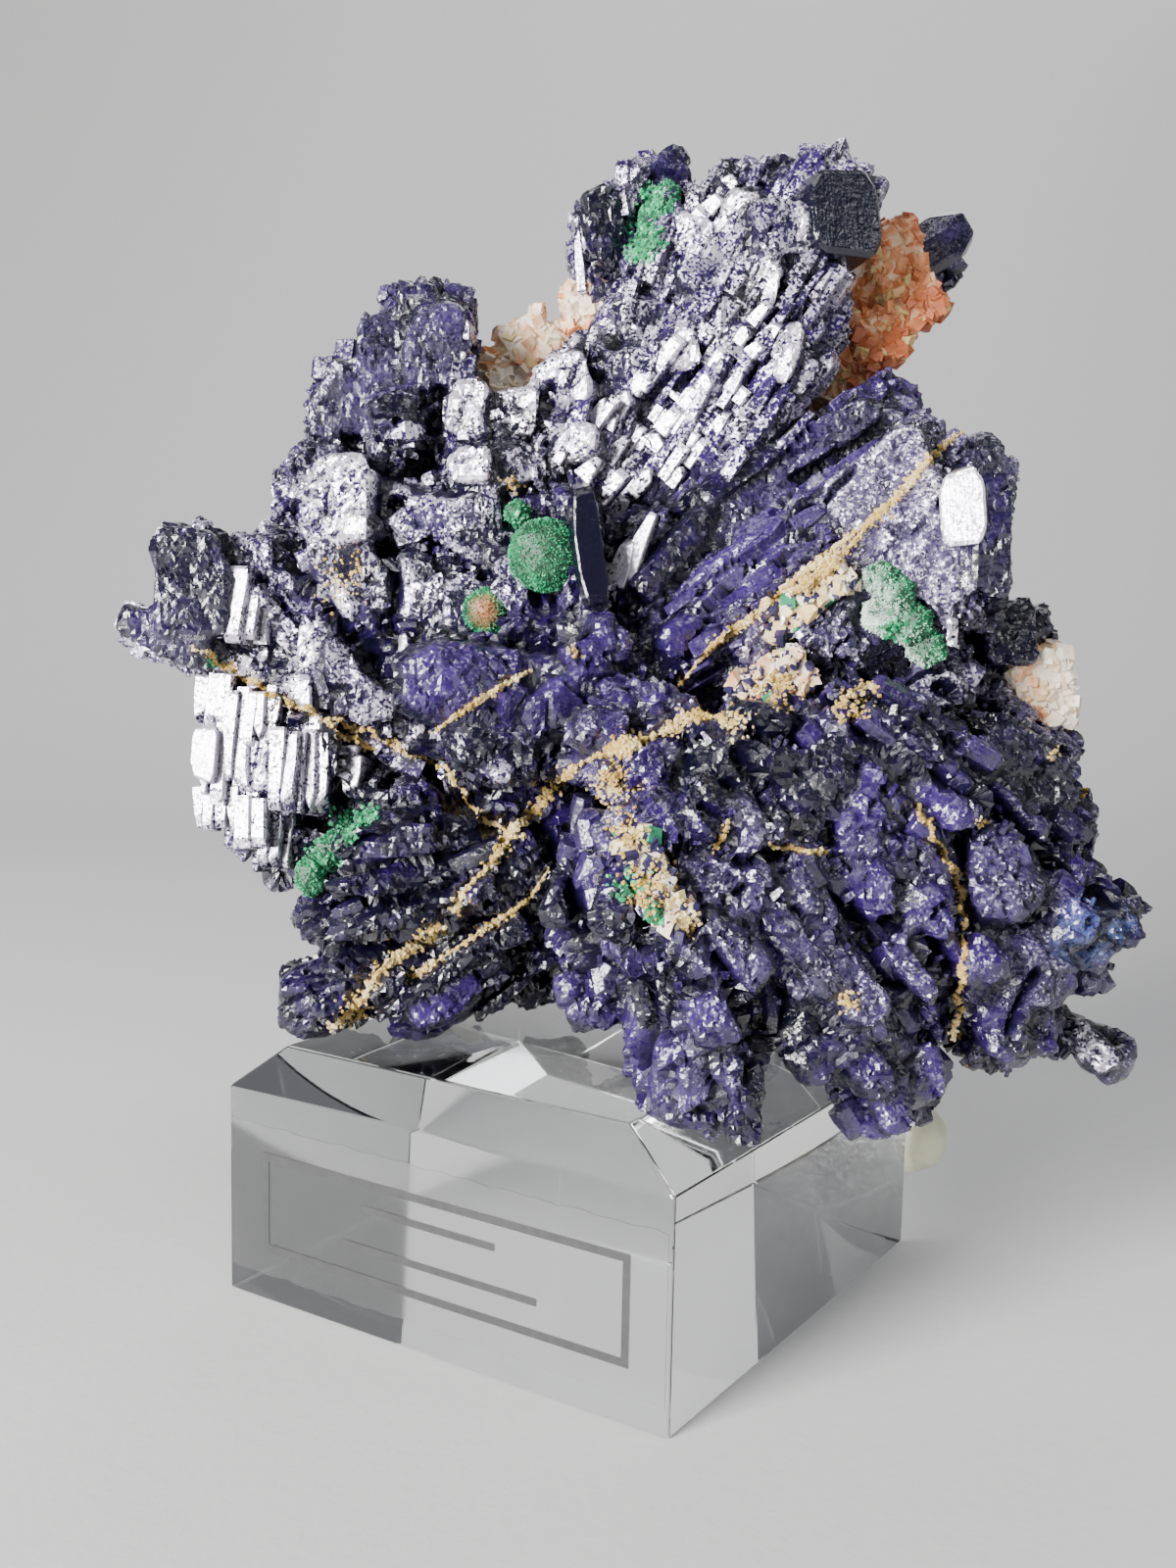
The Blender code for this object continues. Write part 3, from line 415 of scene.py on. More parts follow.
class SpecimenSizes(bpy.types.PropertyGroup):
    """Sizes of the specimen's dressing that a user would change."""

    crystal_scale: bpy.props.FloatProperty(
        name="Crystal scale", description="Size of the ledge crystals against their habit", default=1.0)
    grain_size: length_setting("Grain size", "Mean size of the druse grains", 0.45)
    facet_size: length_setting("Facet size", "Size of the finest glittering facets", 0.23)
    needle_length: length_setting("Needle length", "Length of the malachite needles", 0.42)
    rhomb_size: length_setting("Rhomb size", "Mean size of the matrix rhombs", 0.95)
    edge_round: length_setting("Edge round", "Rounding of the block's edges", 0.25)
    label_width: length_setting("Label width", "Width of the printed frame", 41.5)
    label_height: length_setting("Label height", "Height of the printed frame", 9.8)
    label_line: length_setting("Label line", "Width of the printed line", 0.75)


class SpecimenColours(bpy.types.PropertyGroup):
    """Colours of the specimen's dressing that a user would change."""

    navy: colour_setting("Navy", "Deep azurite body colour", NAVY)
    violet: colour_setting("Violet", "Azurite where light passes it", VIOLET)
    # Glint: painted glint, the pale base colour that stands in for the key light's glints on the druse
    glint: colour_setting("Glint", "Pale druse on azurite", PALE_GLINT)
    ochre: colour_setting("Ochre", "Iron stained seams", OCHRE)
    cream: colour_setting("Cream", "Pale parts of the seams", CREAM)
    malachite: colour_setting("Malachite", "Malachite green", MALACHITE)
    putty: colour_setting("Putty", "Mounting putty", PUTTY)


# ---- shader expressions


def arithmetic(operation, swapped=False):
    """A method that puts a Math node on a signal and another value, swapped round if asked for."""
    def work(self, other):
        sides = (other, self) if swapped else (self, other)
        return self.sheet.node("Math", dict(enumerate(sides)), operation=operation)
    return work


class Signal:
    """A shader socket that Python arithmetic works on."""

    def __init__(self, sheet, socket):
        self.sheet = sheet
        self.socket = socket

    __add__ = arithmetic("ADD")
    __radd__ = arithmetic("ADD", swapped=True)
    __sub__ = arithmetic("SUBTRACT")
    __rsub__ = arithmetic("SUBTRACT", swapped=True)
    __mul__ = arithmetic("MULTIPLY")
    __rmul__ = arithmetic("MULTIPLY", swapped=True)
    __gt__ = arithmetic("GREATER_THAN")
    at_least = arithmetic("MAXIMUM")
    at_most = arithmetic("MINIMUM")

    def clamp(self):
        """The value kept between 0 and 1."""
        return self.at_least(0.0).at_most(1.0)


class Sheet:
    """The node sheet of one material."""

    def __init__(self, name):
        self.material = bpy.data.materials.new(name)
        self.material.use_nodes = True
        self.tree = self.material.node_tree
        self.shader = self.tree.nodes["Principled BSDF"]

    def node(self, kind, inputs=None, output=0, **settings):
        """Add a node: its settings, then the values or links of its sockets, except those that are None."""
        made = self.tree.nodes.new("ShaderNode" + kind)
        for key, value in settings.items():
            if key == "stops":
                self._stops(made.color_ramp, value)
            else:
                setattr(made, key, value)
        for key, value in (inputs or {}).items():
            if value is not None:
                self.feed(made.inputs[key], value)
        return Signal(self, made.outputs[output])

    @staticmethod
    def _stops(ramp, stops):
        while len(ramp.elements) < len(stops):
            ramp.elements.new(0.5)
        for element, (place, colour) in zip(ramp.elements, stops):
            element.position = place
            element.color = (*colour, 1.0)

    def feed(self, socket, value):
        """Link a signal to a socket, or set the socket's own value."""
        if isinstance(value, Signal):
            self.tree.links.new(value.socket, socket)
        elif socket.type == "RGBA" and len(value) == 3:
            socket.default_value = (*value, 1.0)
        else:
            socket.default_value = value

    def set(self, **values):
        """Set or link the shader's sockets by their names."""
        for key, value in values.items():
            self.feed(self.shader.inputs[key.replace("_", " ")], value)
        return self.material

    def place(self):
        """Object coordinates in metres."""
        return self.node("TexCoord", output="Object")

    def noise(self, place, size, detail=3.0, rough=0.55):
        """Soft noise with features of the given size."""
        return self.node("TexNoise", {"Vector": place, "Scale": 1.0 / size, "Detail": detail,
                                      "Roughness": rough})

    def cells(self, place, size):
        """Cells of the given size, each with its own random colour."""
        return self.node("TexVoronoi", {"Vector": place, "Scale": 1.0 / size}, "Color")

    def attribute(self, name, output="Color"):
        """A value kept on the mesh."""
        return self.node("Attribute", output=output, attribute_name=name)

    def mix(self, factor, first, second):
        """A colour between two."""
        return self.node("Mix", {0: factor, 6: first, 7: second}, 2, data_type="RGBA")

    def vector(self, operation, first, second=None, scale=None, output=0):
        """Vector arithmetic."""
        return self.node("VectorMath", {0: first, 1: second, 3: scale}, output, operation=operation)

    def part(self, vector, axis):
        """One component of a vector or a colour."""
        return self.node("SeparateXYZ", {0: vector}, axis)

    def facets(self, layers):
        """The surface normal turned cell by cell: pairs of a cell colour and its strength."""
        normal = self.node("NewGeometry", output="Normal")
        for colour, strength in layers:
            offset = self.vector("SUBTRACT", colour, (0.5, 0.5, 0.5))
            normal = self.vector("ADD", normal, self.vector("SCALE", offset, scale=strength))
        return self.vector("NORMALIZE", normal)

    def bump(self, height, distance, strength=1.0, normal=None):
        """A bumped normal."""
        return self.node("Bump", {"Height": height, "Distance": distance, "Strength": strength,
                                  "Normal": normal})


# ---- modelling helpers


def start():
    """Leave edit mode and deselect everything."""
    if bpy.context.object and bpy.context.object.mode != "OBJECT":
        bpy.ops.object.mode_set(mode="OBJECT")
    bpy.ops.object.select_all(action="DESELECT")


@contextmanager
def editing(select=True):
    """Edit mode on the active piece, with all of it selected unless told otherwise."""
    bpy.ops.object.mode_set(mode="EDIT")
    if select:
        bpy.ops.mesh.select_all(action="SELECT")
    yield
    bpy.ops.object.mode_set(mode="OBJECT")


def bring_in(name, data):
    """A new object in the scene with the given mesh, camera or light."""
    made = bpy.data.objects.new(name, data)
    bpy.context.scene.collection.objects.link(made)
    return made


def pick_up(piece):
    """Make a piece the active and only selected one."""
    start()
    bpy.context.view_layer.objects.active = piece
    piece.select_set(True)


def set_down():
    """Put the active piece's place, turn and scale into its mesh."""
    bpy.ops.object.transform_apply(location=True, rotation=True, scale=True)


def slice_selected(point, normal):
    """Cut the mesh in edit mode by a plane, drop what lies beyond it and close the cut."""
    bpy.ops.mesh.select_all(action="SELECT")
    bpy.ops.mesh.bisect(plane_co=point, plane_no=normal, use_fill=True, clear_outer=True, threshold=1e-5)


def cut_cube(cuts, turn=(0.0, 0.0, 0.0), squash=(1.0, 1.0, 1.0)):
    """A unit block standing on z=0, turned, squashed and cut by planes, as the active object."""
    start()
    bpy.ops.mesh.primitive_cube_add(size=1.0, location=(0, 0, 0.5), rotation=turn)
    set_down()
    with editing():
        bpy.ops.transform.resize(value=squash)
        for point, normal in cuts:
            slice_selected(point, normal)
    return bpy.context.object


def take_shape(piece):
    """The vertices and faces of a modelled seed, which is then removed."""
    points = np.array([vert.co[:] for vert in piece.data.vertices])
    faces = [list(face.vertices) for face in piece.data.polygons]
    bpy.data.objects.remove(piece, do_unlink=True)
    return points, faces


def soften(piece, width):
    """Cut the edges of a seed to narrow facets that catch the light."""
    pick_up(piece)
    with editing():
        bpy.ops.mesh.bevel(offset=width, segments=1, affect="EDGES", clamp_overlap=True)
    return piece


def cube_seeds(forms, edge=None):
    """Seeds cut from a unit block by planes, with narrow facets on their edges if a width is given."""
    made = [cut_cube(cuts) for cuts in forms]
    return [take_shape(soften(piece, edge) if edge else piece) for piece in made]


def centred(seeds):
    """Seeds about their middle in place of their foot."""
    return [(points - (0, 0, 0.5), faces) for points, faces in seeds]


def lath_seeds():
    """Bladed crystals: chisel tips, cut shoulders and rounded ends."""
    return cube_seeds([
        [((0.1, 0, 1), (0.5, 0.1, 0.9)), ((0, 0, 1), (-0.4, 0.2, 0.9)), ((0.40, 0.5, 0), (0.8, 0.7, 0))],
        [((0, 0.3, 1), (0, 0.5, 0.8)), ((0.3, 0, 0.96), (0.9, 0.1, 0.3)), ((-0.42, 0.5, 0), (-0.8, 0.6, 0))],
        [((0, 0, 0.98), (0.2, 0.3, 0.9)), ((-0.3, 0, 0.93), (-0.8, 0, 0.3)), ((0.3, 0, 0.93), (0.8, 0, 0.3))],
        [((0, 0.4, 0.97), (0, 0.8, 0.5)), ((0.38, 0.5, 0.5), (0.8, 0.8, 0)),
         ((-0.38, 0.5, 0.5), (-0.8, 0.8, 0))],
        [((0.2, 0, 0.95), (0.85, 0, 0.3)), ((-0.2, 0, 0.95), (-0.85, 0, 0.3)),
         ((0, 0.35, 0.95), (0, 0.8, 0.4))],
    ], 0.045)


def scale_seeds():
    """Broad scale-like crystals with many-sided tips: the turn of the outline and the cuts of the tip."""
    forms = [
        (0.0, ((0, 0.25, 0.95), (0.1, 0.6, 0.8)), ((0.3, 0, 0.85), (0.8, 0, 0.35)),
         ((-0.3, 0, 0.9), (-0.8, 0, 0.3))),
        (22.5, ((0, 0.3, 0.9), (-0.1, 0.7, 0.6)), ((0.2, 0, 0.92), (0.7, 0.1, 0.4)),
         ((-0.36, 0, 0.75), (-0.9, 0, 0.2))),
        (10.0, ((0, 0.2, 0.97), (0, 0.5, 0.9)), ((0.36, 0, 0.8), (0.9, 0, 0.2)),
         ((-0.25, 0, 0.9), (-0.7, 0, 0.35))),
    ]
    made = []
    for turn, *cuts in forms:
        start()
        bpy.ops.mesh.primitive_cylinder_add(vertices=8, radius=0.5, depth=1.0, location=(0, 0, 0.5),
                                            rotation=(0, 0, math.radians(turn)))
        set_down()
        with editing():
            for point, normal in cuts:
                slice_selected(point, normal)
        made.append(take_shape(soften(bpy.context.object, 0.03)))
    return made


def block_seeds():
    """Stout crystals with a rounded broad face: how far each corner is cut, and the tilt of the top."""
    corners = ((1, 1), (-1, 1), (1, -1), (-1, -1))
    forms = []
    for depths, tilt in (((0.24, 0.20, 0.12, 0.16), 0.10), ((0.14, 0.30, 0.10, 0.10), -0.12),
                         ((0.32, 0.12, 0.16, 0.08), 0.04)):
        forms.append([((side * (0.5 - depth * 0.6), 0, level * (0.5 - depth * 0.5) + 0.5),
                       (side * 0.8, 0, level * 0.6)) for depth, (side, level) in zip(depths, corners)])
        forms[-1].append(((0, 0, 0.97), (tilt, 0.1, 1)))
    return cube_seeds(forms, 0.06)


def tile_seeds():
    """Scale-like blades: where the chamfers of the front edges begin, and the height and slope of the tip."""
    forms = (((0.26, -0.32), 0.30, 0.62), ((0.34, -0.24), 0.42, 0.70), ((0.20, -0.36), 0.36, 0.55))
    return cube_seeds([
        [((right, 0.5, 0), (0.75, 0.66, 0.1)), ((left, 0.5, 0), (-0.7, 0.7, 0)),
         ((0, 0.5, 1 - tip), (0, slope, 1 - slope)), ((0.5, 0, 1 - tip), (0.7, 0.1, 0.5)),
         ((-0.5, 0, 1 - tip * 0.7), (-0.6, 0.1, 0.6)), ((0.5, 0, 0.2), (0.6, 0, -0.5))]
        for (right, left), tip, slope in forms], 0.03)


def grain_seeds():
    """Small blocky grains with one or two cut corners."""
    return cube_seeds([
        [((0.35, 0.35, 0.85), (0.6, 0.6, 0.5)), ((-0.3, 0, 0.8), (-0.7, 0.1, 0.6))],
        [((0, 0.35, 0.85), (0.1, 0.7, 0.6)), ((0.35, -0.2, 0.75), (0.8, -0.2, 0.4))],
    ])


def rhomb_seeds():
    """Matrix rhombs: blocks squashed along their long diagonal, one with a cut corner."""
    turn = (math.radians(54.7), 0.0, math.radians(45))
    whole = cut_cube([], turn, (1.0, 1.0, 0.72))
    cut = cut_cube([((0.3, 0.2, 0.8), (0.5, 0.3, 0.7))], turn, (1.0, 1.0, 0.8))
    return centred([take_shape(whole), take_shape(cut)])


def nodule_seeds():
    """Uneven crumbs for the ochre seams and the loose malachite."""
    return centred(cube_seeds([
        [((0.3, 0.2, 0.85), (0.6, 0.5, 0.6)), ((-0.35, -0.2, 0.3), (-0.7, -0.4, -0.4))],
        [((-0.2, 0.3, 0.85), (-0.4, 0.7, 0.6)), ((0.35, -0.3, 0.4), (0.7, -0.6, -0.2))],
    ]))


def needle_seeds():
    """A tapering four-sided needle."""
    start()
    bpy.ops.mesh.primitive_cone_add(vertices=4, radius1=0.5, radius2=0.22, depth=1.0, location=(0, 0, 0.5))
    return [take_shape(bpy.context.object)]


def unit(vectors):
    """Vectors scaled to length one."""
    size = np.linalg.norm(vectors, axis=-1, keepdims=True)
    return vectors / np.maximum(size, 1e-9)


def turned(points, angle):
    """Points turned about the vertical."""
    cos, sin = math.cos(angle), math.sin(angle)
    x, y, z = points[..., 0], points[..., 1], points[..., 2]
    return np.stack([x * cos - y * sin, x * sin + y * cos, z], axis=-1)


def to_block_frame(points):
    """Specimen millimetres to the block's frame in metres."""
    return turned(points, SPECIMEN_TURN) * MM


def to_specimen(points):
    """The block's frame in metres to specimen millimetres."""
    return turned(points, -SPECIMEN_TURN) / MM


def way_from(azimuth, elevation):
    """Unit vector from the specimen to something at an azimuth from the front and an elevation."""
    level = math.cos(elevation)
    return (math.sin(azimuth) * level, -math.cos(azimuth) * level, math.sin(elevation))


def read(rows, field, kind=float, size=3):
    """One field of a mesh's rows, with as many values to a row as its size says."""
    values = np.empty(len(rows) * size, dtype=kind)
    rows.foreach_get(field, values)
    return values.reshape(-1, size)


def node_surface(name):
    """A CAD node's points and triangles, in specimen millimetres."""
    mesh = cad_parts[name].data
    mesh.calc_loop_triangles()
    return to_specimen(read(mesh.vertices, "co")), read(mesh.loop_triangles, "vertices", np.int32)


def scatter(points, triangles, per_area, rng):
    """Random places on a surface and the outward normals there."""
    a, b, c = (points[triangles[:, i]] for i in range(3))
    cross = np.cross(b - a, c - a)
    area = np.linalg.norm(cross, axis=1) / 2
    count = int(area.sum() * per_area)
    pick = rng.choice(len(triangles), count, p=area / area.sum())
    u, v = np.sqrt(rng.random(count)), rng.random(count)
    places = a[pick] * (1 - u)[:, None] + b[pick] * (u * (1 - v))[:, None] + c[pick] * (u * v)[:, None]
    return places, unit(cross)[pick]


def frames_from(out, along):
    """Axis triples (across, out, along) whose last axis is kept and whose middle one is made square to it."""
    along = unit(along)
    out = unit(out - (out * along).sum(-1, keepdims=True) * along)
    return np.stack([np.cross(out, along), out, along], axis=1)


def spread_copies(name, seeds, axes, sizes, places, rng, material, finish=None):
    """Join turned and scaled copies of the seed shapes into one piece with a tone for each copy."""
    pick = rng.integers(0, len(seeds), len(places))
    tones = rng.random((len(places), 3))
    rows = []
    base = loop_base = 0
    for index, (shape, faces) in enumerate(seeds):
        chosen = np.flatnonzero(pick == index)
        if len(chosen) == 0:
            continue
        local = shape * sizes[chosen][:, None]
        world = np.einsum("nij,njk->nik", local, axes[chosen]) + places[chosen][:, None]
        corner = np.concatenate([np.array(face) for face in faces])
        starts = np.cumsum([0] + [len(face) for face in faces[:-1]])
        offset = base + np.arange(len(chosen)) * len(shape)
        step = loop_base + np.arange(len(chosen)) * len(corner)
        strand = local + STRAND_SHIFT * tones[chosen][:, None]
        rows.append((world.reshape(-1, 3), (corner + offset[:, None]).ravel(),
                     (starts + step[:, None]).ravel(), np.repeat(tones[chosen], len(shape), axis=0),
                     strand.reshape(-1, 3)))
        base += len(chosen) * len(shape)
        loop_base += len(chosen) * len(corner)
    points, loops, starts, tones, strands = map(np.concatenate, zip(*rows))
    if finish is not None:
        finish = np.insert(np.array(finish) * (1 + 0.7 * (tones - 0.5)), 3, 0.0, axis=1)
    raise_mesh(name, points, loops, starts, tones, strands, material, finish)


def keep_values(mesh, name, kind, field, values):
    """Keep each vertex's value on the mesh, for its material to read."""
    mesh.attributes.new(name, kind, "POINT").data.foreach_set(field, values.astype(np.float32).ravel())


def raise_mesh(name, points, loops, starts, tones, local, material, finish=None):
    """Make the joined piece from its arrays and set it on the body."""
    mesh = bpy.data.meshes.new(name)
    mesh.vertices.add(len(points))
    mesh.vertices.foreach_set("co", to_block_frame(points).astype(np.float32).ravel())
    mesh.loops.add(len(loops))
    mesh.loops.foreach_set("vertex_index", loops.astype(np.int32))
    mesh.polygons.add(len(starts))
    mesh.polygons.foreach_set("loop_start", starts.astype(np.int32))
    mesh.update(calc_edges=True)
    mesh.validate()
    mesh.shade_flat()
    keep_values(mesh, "tone", "FLOAT_COLOR", "color", np.insert(tones, 3, 1.0, axis=1))
    keep_values(mesh, "strand", "FLOAT_VECTOR", "vector", local * MM)
    # Shares of tint and painted glint, and the painted crease shade, kept for the material
    if finish is not None:
        keep_values(mesh, "finish", "FLOAT_COLOR", "color", np.insert(finish[:, :3], 3, 1.0, axis=1))
        keep_values(mesh, "crease", "FLOAT", "value", finish[:, 3])
    return settle(bring_in(name, mesh), material)


def dress(piece, material):
    """Give a piece one material."""
    piece.data.materials.clear()
    piece.data.materials.append(material)


def settle(piece, material):
    """Give a piece its material and set it on the body."""
    dress(piece, material)
    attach(piece, BODY)
    return piece


# ---- where crystals grow


def growth_axis(heading, lean):
    """Unit vector of a heading in the upright plane that leans away from the front."""
    turn, back = math.radians(heading), math.radians(lean)
    return (math.cos(turn) * math.cos(back), math.sin(back), math.sin(turn) * math.cos(back))


def parent_table():
    """Roots, axes, lengths, half widths and group numbers of the larger crystals."""
    rows = [(row, number) for number, group in enumerate(GROUPS.values()) for row in group]
    roots = np.array([row[0] for row, _ in rows], dtype=float)
    axes = np.array([growth_axis(row[1], row[2]) for row, _ in rows])
    lengths = np.array([row[3] for row, _ in rows], dtype=float)
    halves = np.array([(row[4] + row[5]) / 4 for row, _ in rows])
    return roots, axes, lengths, halves, np.array([number for _, number in rows])


def nearest_parent(places):
    """For each place, the larger crystal that it belongs to."""
    roots, axes, lengths, halves, _ = parent_table()
    best = np.full(len(places), np.inf)
    owner = np.zeros(len(places), dtype=int)
    for index, axis in enumerate(axes):
        off = places - roots[index]
        along = np.clip(off @ axis, 0, lengths[index])
        gap = np.linalg.norm(off - along[:, None] * axis, axis=1) / halves[index]
        closer = gap < best
        best[closer] = gap[closer]
        owner[closer] = index
    return owner


class Ground:
    """The azurite surface and its neighbours, in specimen millimetres."""

    def __init__(self):
        self.points, self.triangles = node_surface("azurite_cluster")
        self.tree = BVHTree.FromPolygons(self.points.tolist(), self.triangles.tolist())
        others = {name: node_surface(name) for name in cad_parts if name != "azurite_cluster"}
        self.near = {name: BVHTree.FromPolygons(p.tolist(), t.tolist()) for name, (p, t) in others.items()}
        self.boxes = {name: (p.min(axis=0), p.max(axis=0)) for name, (p, _) in others.items()}

    def beside(self, places, family, reach):
        """Which places are within reach of a neighbour of one family, told by how its name starts."""
        found = np.zeros(len(places), dtype=bool)
        for name, tree in self.near.items():
            if name.startswith(family):
                low, high = self.boxes[name]
                inside = ((places > low - reach) & (places < high + reach)).all(axis=1)
                for index in np.flatnonzero(inside):
                    found[index] |= tree.find_nearest(Vector(places[index]), reach)[0] is not None
        return found

    def open_places(self, places, normals, room, reach):
        """Which places have free room along their normal and no other piece within reach."""
        keep = np.ones(len(places), dtype=bool)
        for index, (place, normal) in enumerate(zip(places.tolist(), normals.tolist())):
            point, way = Vector(place), Vector(normal)
            near = any(tree.find_nearest(point, reach)[0] is not None for tree in self.near.values())
            keep[index] = not near and self.tree.ray_cast(point + 0.2 * way, way, room)[0] is None
        return keep


def clear_of_block(places, margin=BLOCK_MARGIN):
    """Which places are outside the display block by a margin in millimetres."""
    block = to_block_frame(places) / MM
    inside = np.abs(block[:, :2]).max(axis=1) < BLOCK_SIDE / 2 + margin
    return ~(inside & (block[:, 2] < BLOCK_HEIGHT + margin))


def glint_way(place):
    """The way a face at a place turns to send the key light's glint to the camera."""
    azimuth, elevation, away = KEY_LIGHT
    light = np.array(way_from(CAMERA_AZIMUTH + math.radians(azimuth), math.radians(elevation))) * away
    light = to_specimen(light + LIGHT_AIM)
    camera = to_specimen(np.array(CAMERA_SPOT) * MM)
    return unit(unit(camera - place) + unit(light - place))


def sight_line(x, y):
    """A sight point's start and direction in specimen millimetres."""
    origin, way = sight_ray(x, y)
    return to_specimen(np.array(origin)), unit(to_specimen(np.array(way)))


def picture_place(points):
    """Where points, in specimen millimetres, are in the picture."""
    camera = bpy.context.scene.camera.matrix_world
    local = (to_block_frame(points) - np.array(camera.translation)) @ np.array(camera.to_3x3())
    return np.stack([PICTURE[0] / 2 - FOCAL * local[:, 0] / local[:, 2],
                     PICTURE[1] / 2 + FOCAL * local[:, 1] / local[:, 2]], axis=1)


def crevices(points, normals):
    """Depth of the crevices at each point, and how much painted shade they get there."""
    seen = picture_place(points)
    camera = to_specimen(np.array(CAMERA_SPOT) * MM)
    front = (normals * unit(camera - points)).sum(axis=1) > -0.1
    depth, dark = np.zeros(len(points)), np.zeros(len(points))
    for line, width, deep in CREVICES:
        gap = np.full(len(points), np.inf)
        for start_at, end_at in zip(np.array(line, dtype=float), np.array(line[1:], dtype=float)):
            run = end_at - start_at
            off = seen - start_at
            share = np.clip(off @ run / (run @ run), 0, 1)
            gap = np.minimum(gap, np.linalg.norm(off - share[:, None] * run, axis=1))
        near = np.exp(-(gap / width) ** 2) * front
        depth = np.maximum(depth, near * deep)
        dark = np.maximum(dark, np.exp(-(gap / width / 1.2) ** 4) * front)
    return depth, dark


class Crystal:
    """One crystal that stands out of the azurite: its middle, axes (across, out, along), size and shares of
    tint and painted glint.
    """

    def __init__(self, kind, row, tree, rng):
        self.kind = kind
        self.shape, thick, proud, turn, self.finish = KINDS[kind]
        x0, y0, x1, y1, wide = row
        hits = []
        for share in (0.5, 0.3, 0.7, 0.1, 0.9):
            origin, way = sight_line(x0 + (x1 - x0) * share, y0 + (y1 - y0) * share)
            place = tree.ray_cast(Vector(origin), Vector(way))[0]
            if place is not None:
                hits.append((Vector(origin) - place).length)
        self.found = bool(hits)
        if not hits:
            return
        depth = hits[0] if len(hits) < 3 else sorted(hits)[1]
        foot, tip = (origin + way * depth for origin, way in (sight_line(x0, y0), sight_line(x1, y1)))
        middle = (foot + tip) / 2
        if turn is None:
            face = glint_way(middle) + rng.normal(0, 0.04, 3)
        else:
            yaw, nod = math.radians(turn + rng.uniform(-12, 12)), math.radians(rng.uniform(-4, 14))
            face = np.array([math.sin(yaw), -math.cos(yaw), math.sin(nod)])
        along = tip - foot
        if self.shape == "tile":
            face = face - TILE_LIFT * unit(along)
        face = unit(face)
        along = along - (along @ face) * face
        width = wide / UNITS_PER_MM
        self.axes = np.stack([np.cross(face, unit(along)), face, unit(along)])
        self.size = np.array([width, max(1.6, width * thick), np.linalg.norm(along)])
        self.middle = middle + face * (proud * rng.uniform(0.7, 1.3) - self.size[1] / 2)

    def corners(self, shape):
        """The crystal's points in specimen millimetres."""
        return ((shape - (0, 0, 0.5)) * self.size) @ self.axes + self.middle

    def local(self, points):
        """Points in the crystal's own axes, in millimetres."""
        return (points - self.middle) @ self.axes.T


def bundle(kind, row, rng):
    """The rows of a crystal's columns, side by side and end to end."""
    if kind not in BUNDLES:
        return [row]
    x0, y0, x1, y1, wide = row
    column, reach, overlap = BUNDLES[kind]
    foot, run = np.array([x0, y0]), np.array([x1 - x0, y1 - y0])
    length = np.linalg.norm(run)
    along = run / length
    across = np.array([-along[1], along[0]])
    sides, pieces = max(1, round(wide / column)), max(1, round(length / reach))
    made = []
    for side in range(sides):
        off = across * ((side + 0.5) / sides - 0.5) * wide
        shift = rng.uniform(-0.5, 0.5)
        for piece in range(pieces):
            first = (piece + (shift if piece else 0.0)) / pieces + rng.uniform(-0.02, 0.08)
            last = (piece + 1 + (shift if piece < pieces - 1 else 0.0)) / pieces - rng.uniform(-0.05, 0.10)
            stray = across * rng.normal(0, 0.06) * wide / sides
            made.append((*(foot + off + stray + run * first), *(foot + off + stray + run * last),
                         wide / sides * overlap))
    return made


def lay_crystals(tree, rng):
    """The crystals that stand out, where their sight points land on the azurite."""
    made = [Crystal(kind, part, tree, rng)
            for kind, rows in CRYSTALS.items() for row in rows for part in bundle(kind, row, rng)]
    return [item for item in made if item.found and clear_of_block(item.corners(UNIT_CORNERS)).all()]


def dense_surface(pitch, crystals, seeds, rng):
    """The azurite's own shape with its crystals as even quads: points, vertex normals and quads."""
    points, faces = [], []
    for item in crystals:
        shape, shape_faces = seeds[item.shape][rng.integers(len(seeds[item.shape]))]
        base = sum(map(len, points))
        points.append(item.corners(shape))
        faces += [[base + corner for corner in face] for face in shape_faces]
    extra = bpy.data.meshes.new("standing_crystals")
    extra.from_pydata(to_block_frame(np.concatenate(points)).tolist(), [], faces)
    standing = bring_in("standing_crystals", extra)
    piece = bring_in("azurite_dense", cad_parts["azurite_cluster"].data.copy())
    pick_up(piece)
    with editing():
        bpy.ops.mesh.remove_doubles(threshold=1e-6)
    standing.select_set(True)
    bpy.ops.object.join()
    weave = piece.modifiers.new("even", "REMESH")
    weave.mode = "VOXEL"
    weave.voxel_size = pitch * MM
    bpy.ops.object.modifier_apply(modifier="even")
    mesh = piece.data
    points = to_specimen(read(mesh.vertices, "co"))
    normals = to_specimen(read(mesh.vertex_normals, "vector")) * MM
    quads = read(mesh.loops, "vertex_index", np.int32, 1).reshape(-1, 4)
    bpy.data.objects.remove(piece, do_unlink=True)
    return points, normals, quads


def wander(places, size, rng):
    """A smooth wandering offset for each place, about one size long."""
    total = np.zeros_like(places)
    for _ in range(5):
        way = unit(rng.normal(0, 1, 3)) * rng.uniform(0.7, 1.6) * 2 * math.pi / size
        total += np.sin(places @ way + rng.uniform(0, 6.3))[:, None] * rng.normal(0, 0.45, 3)
    return total


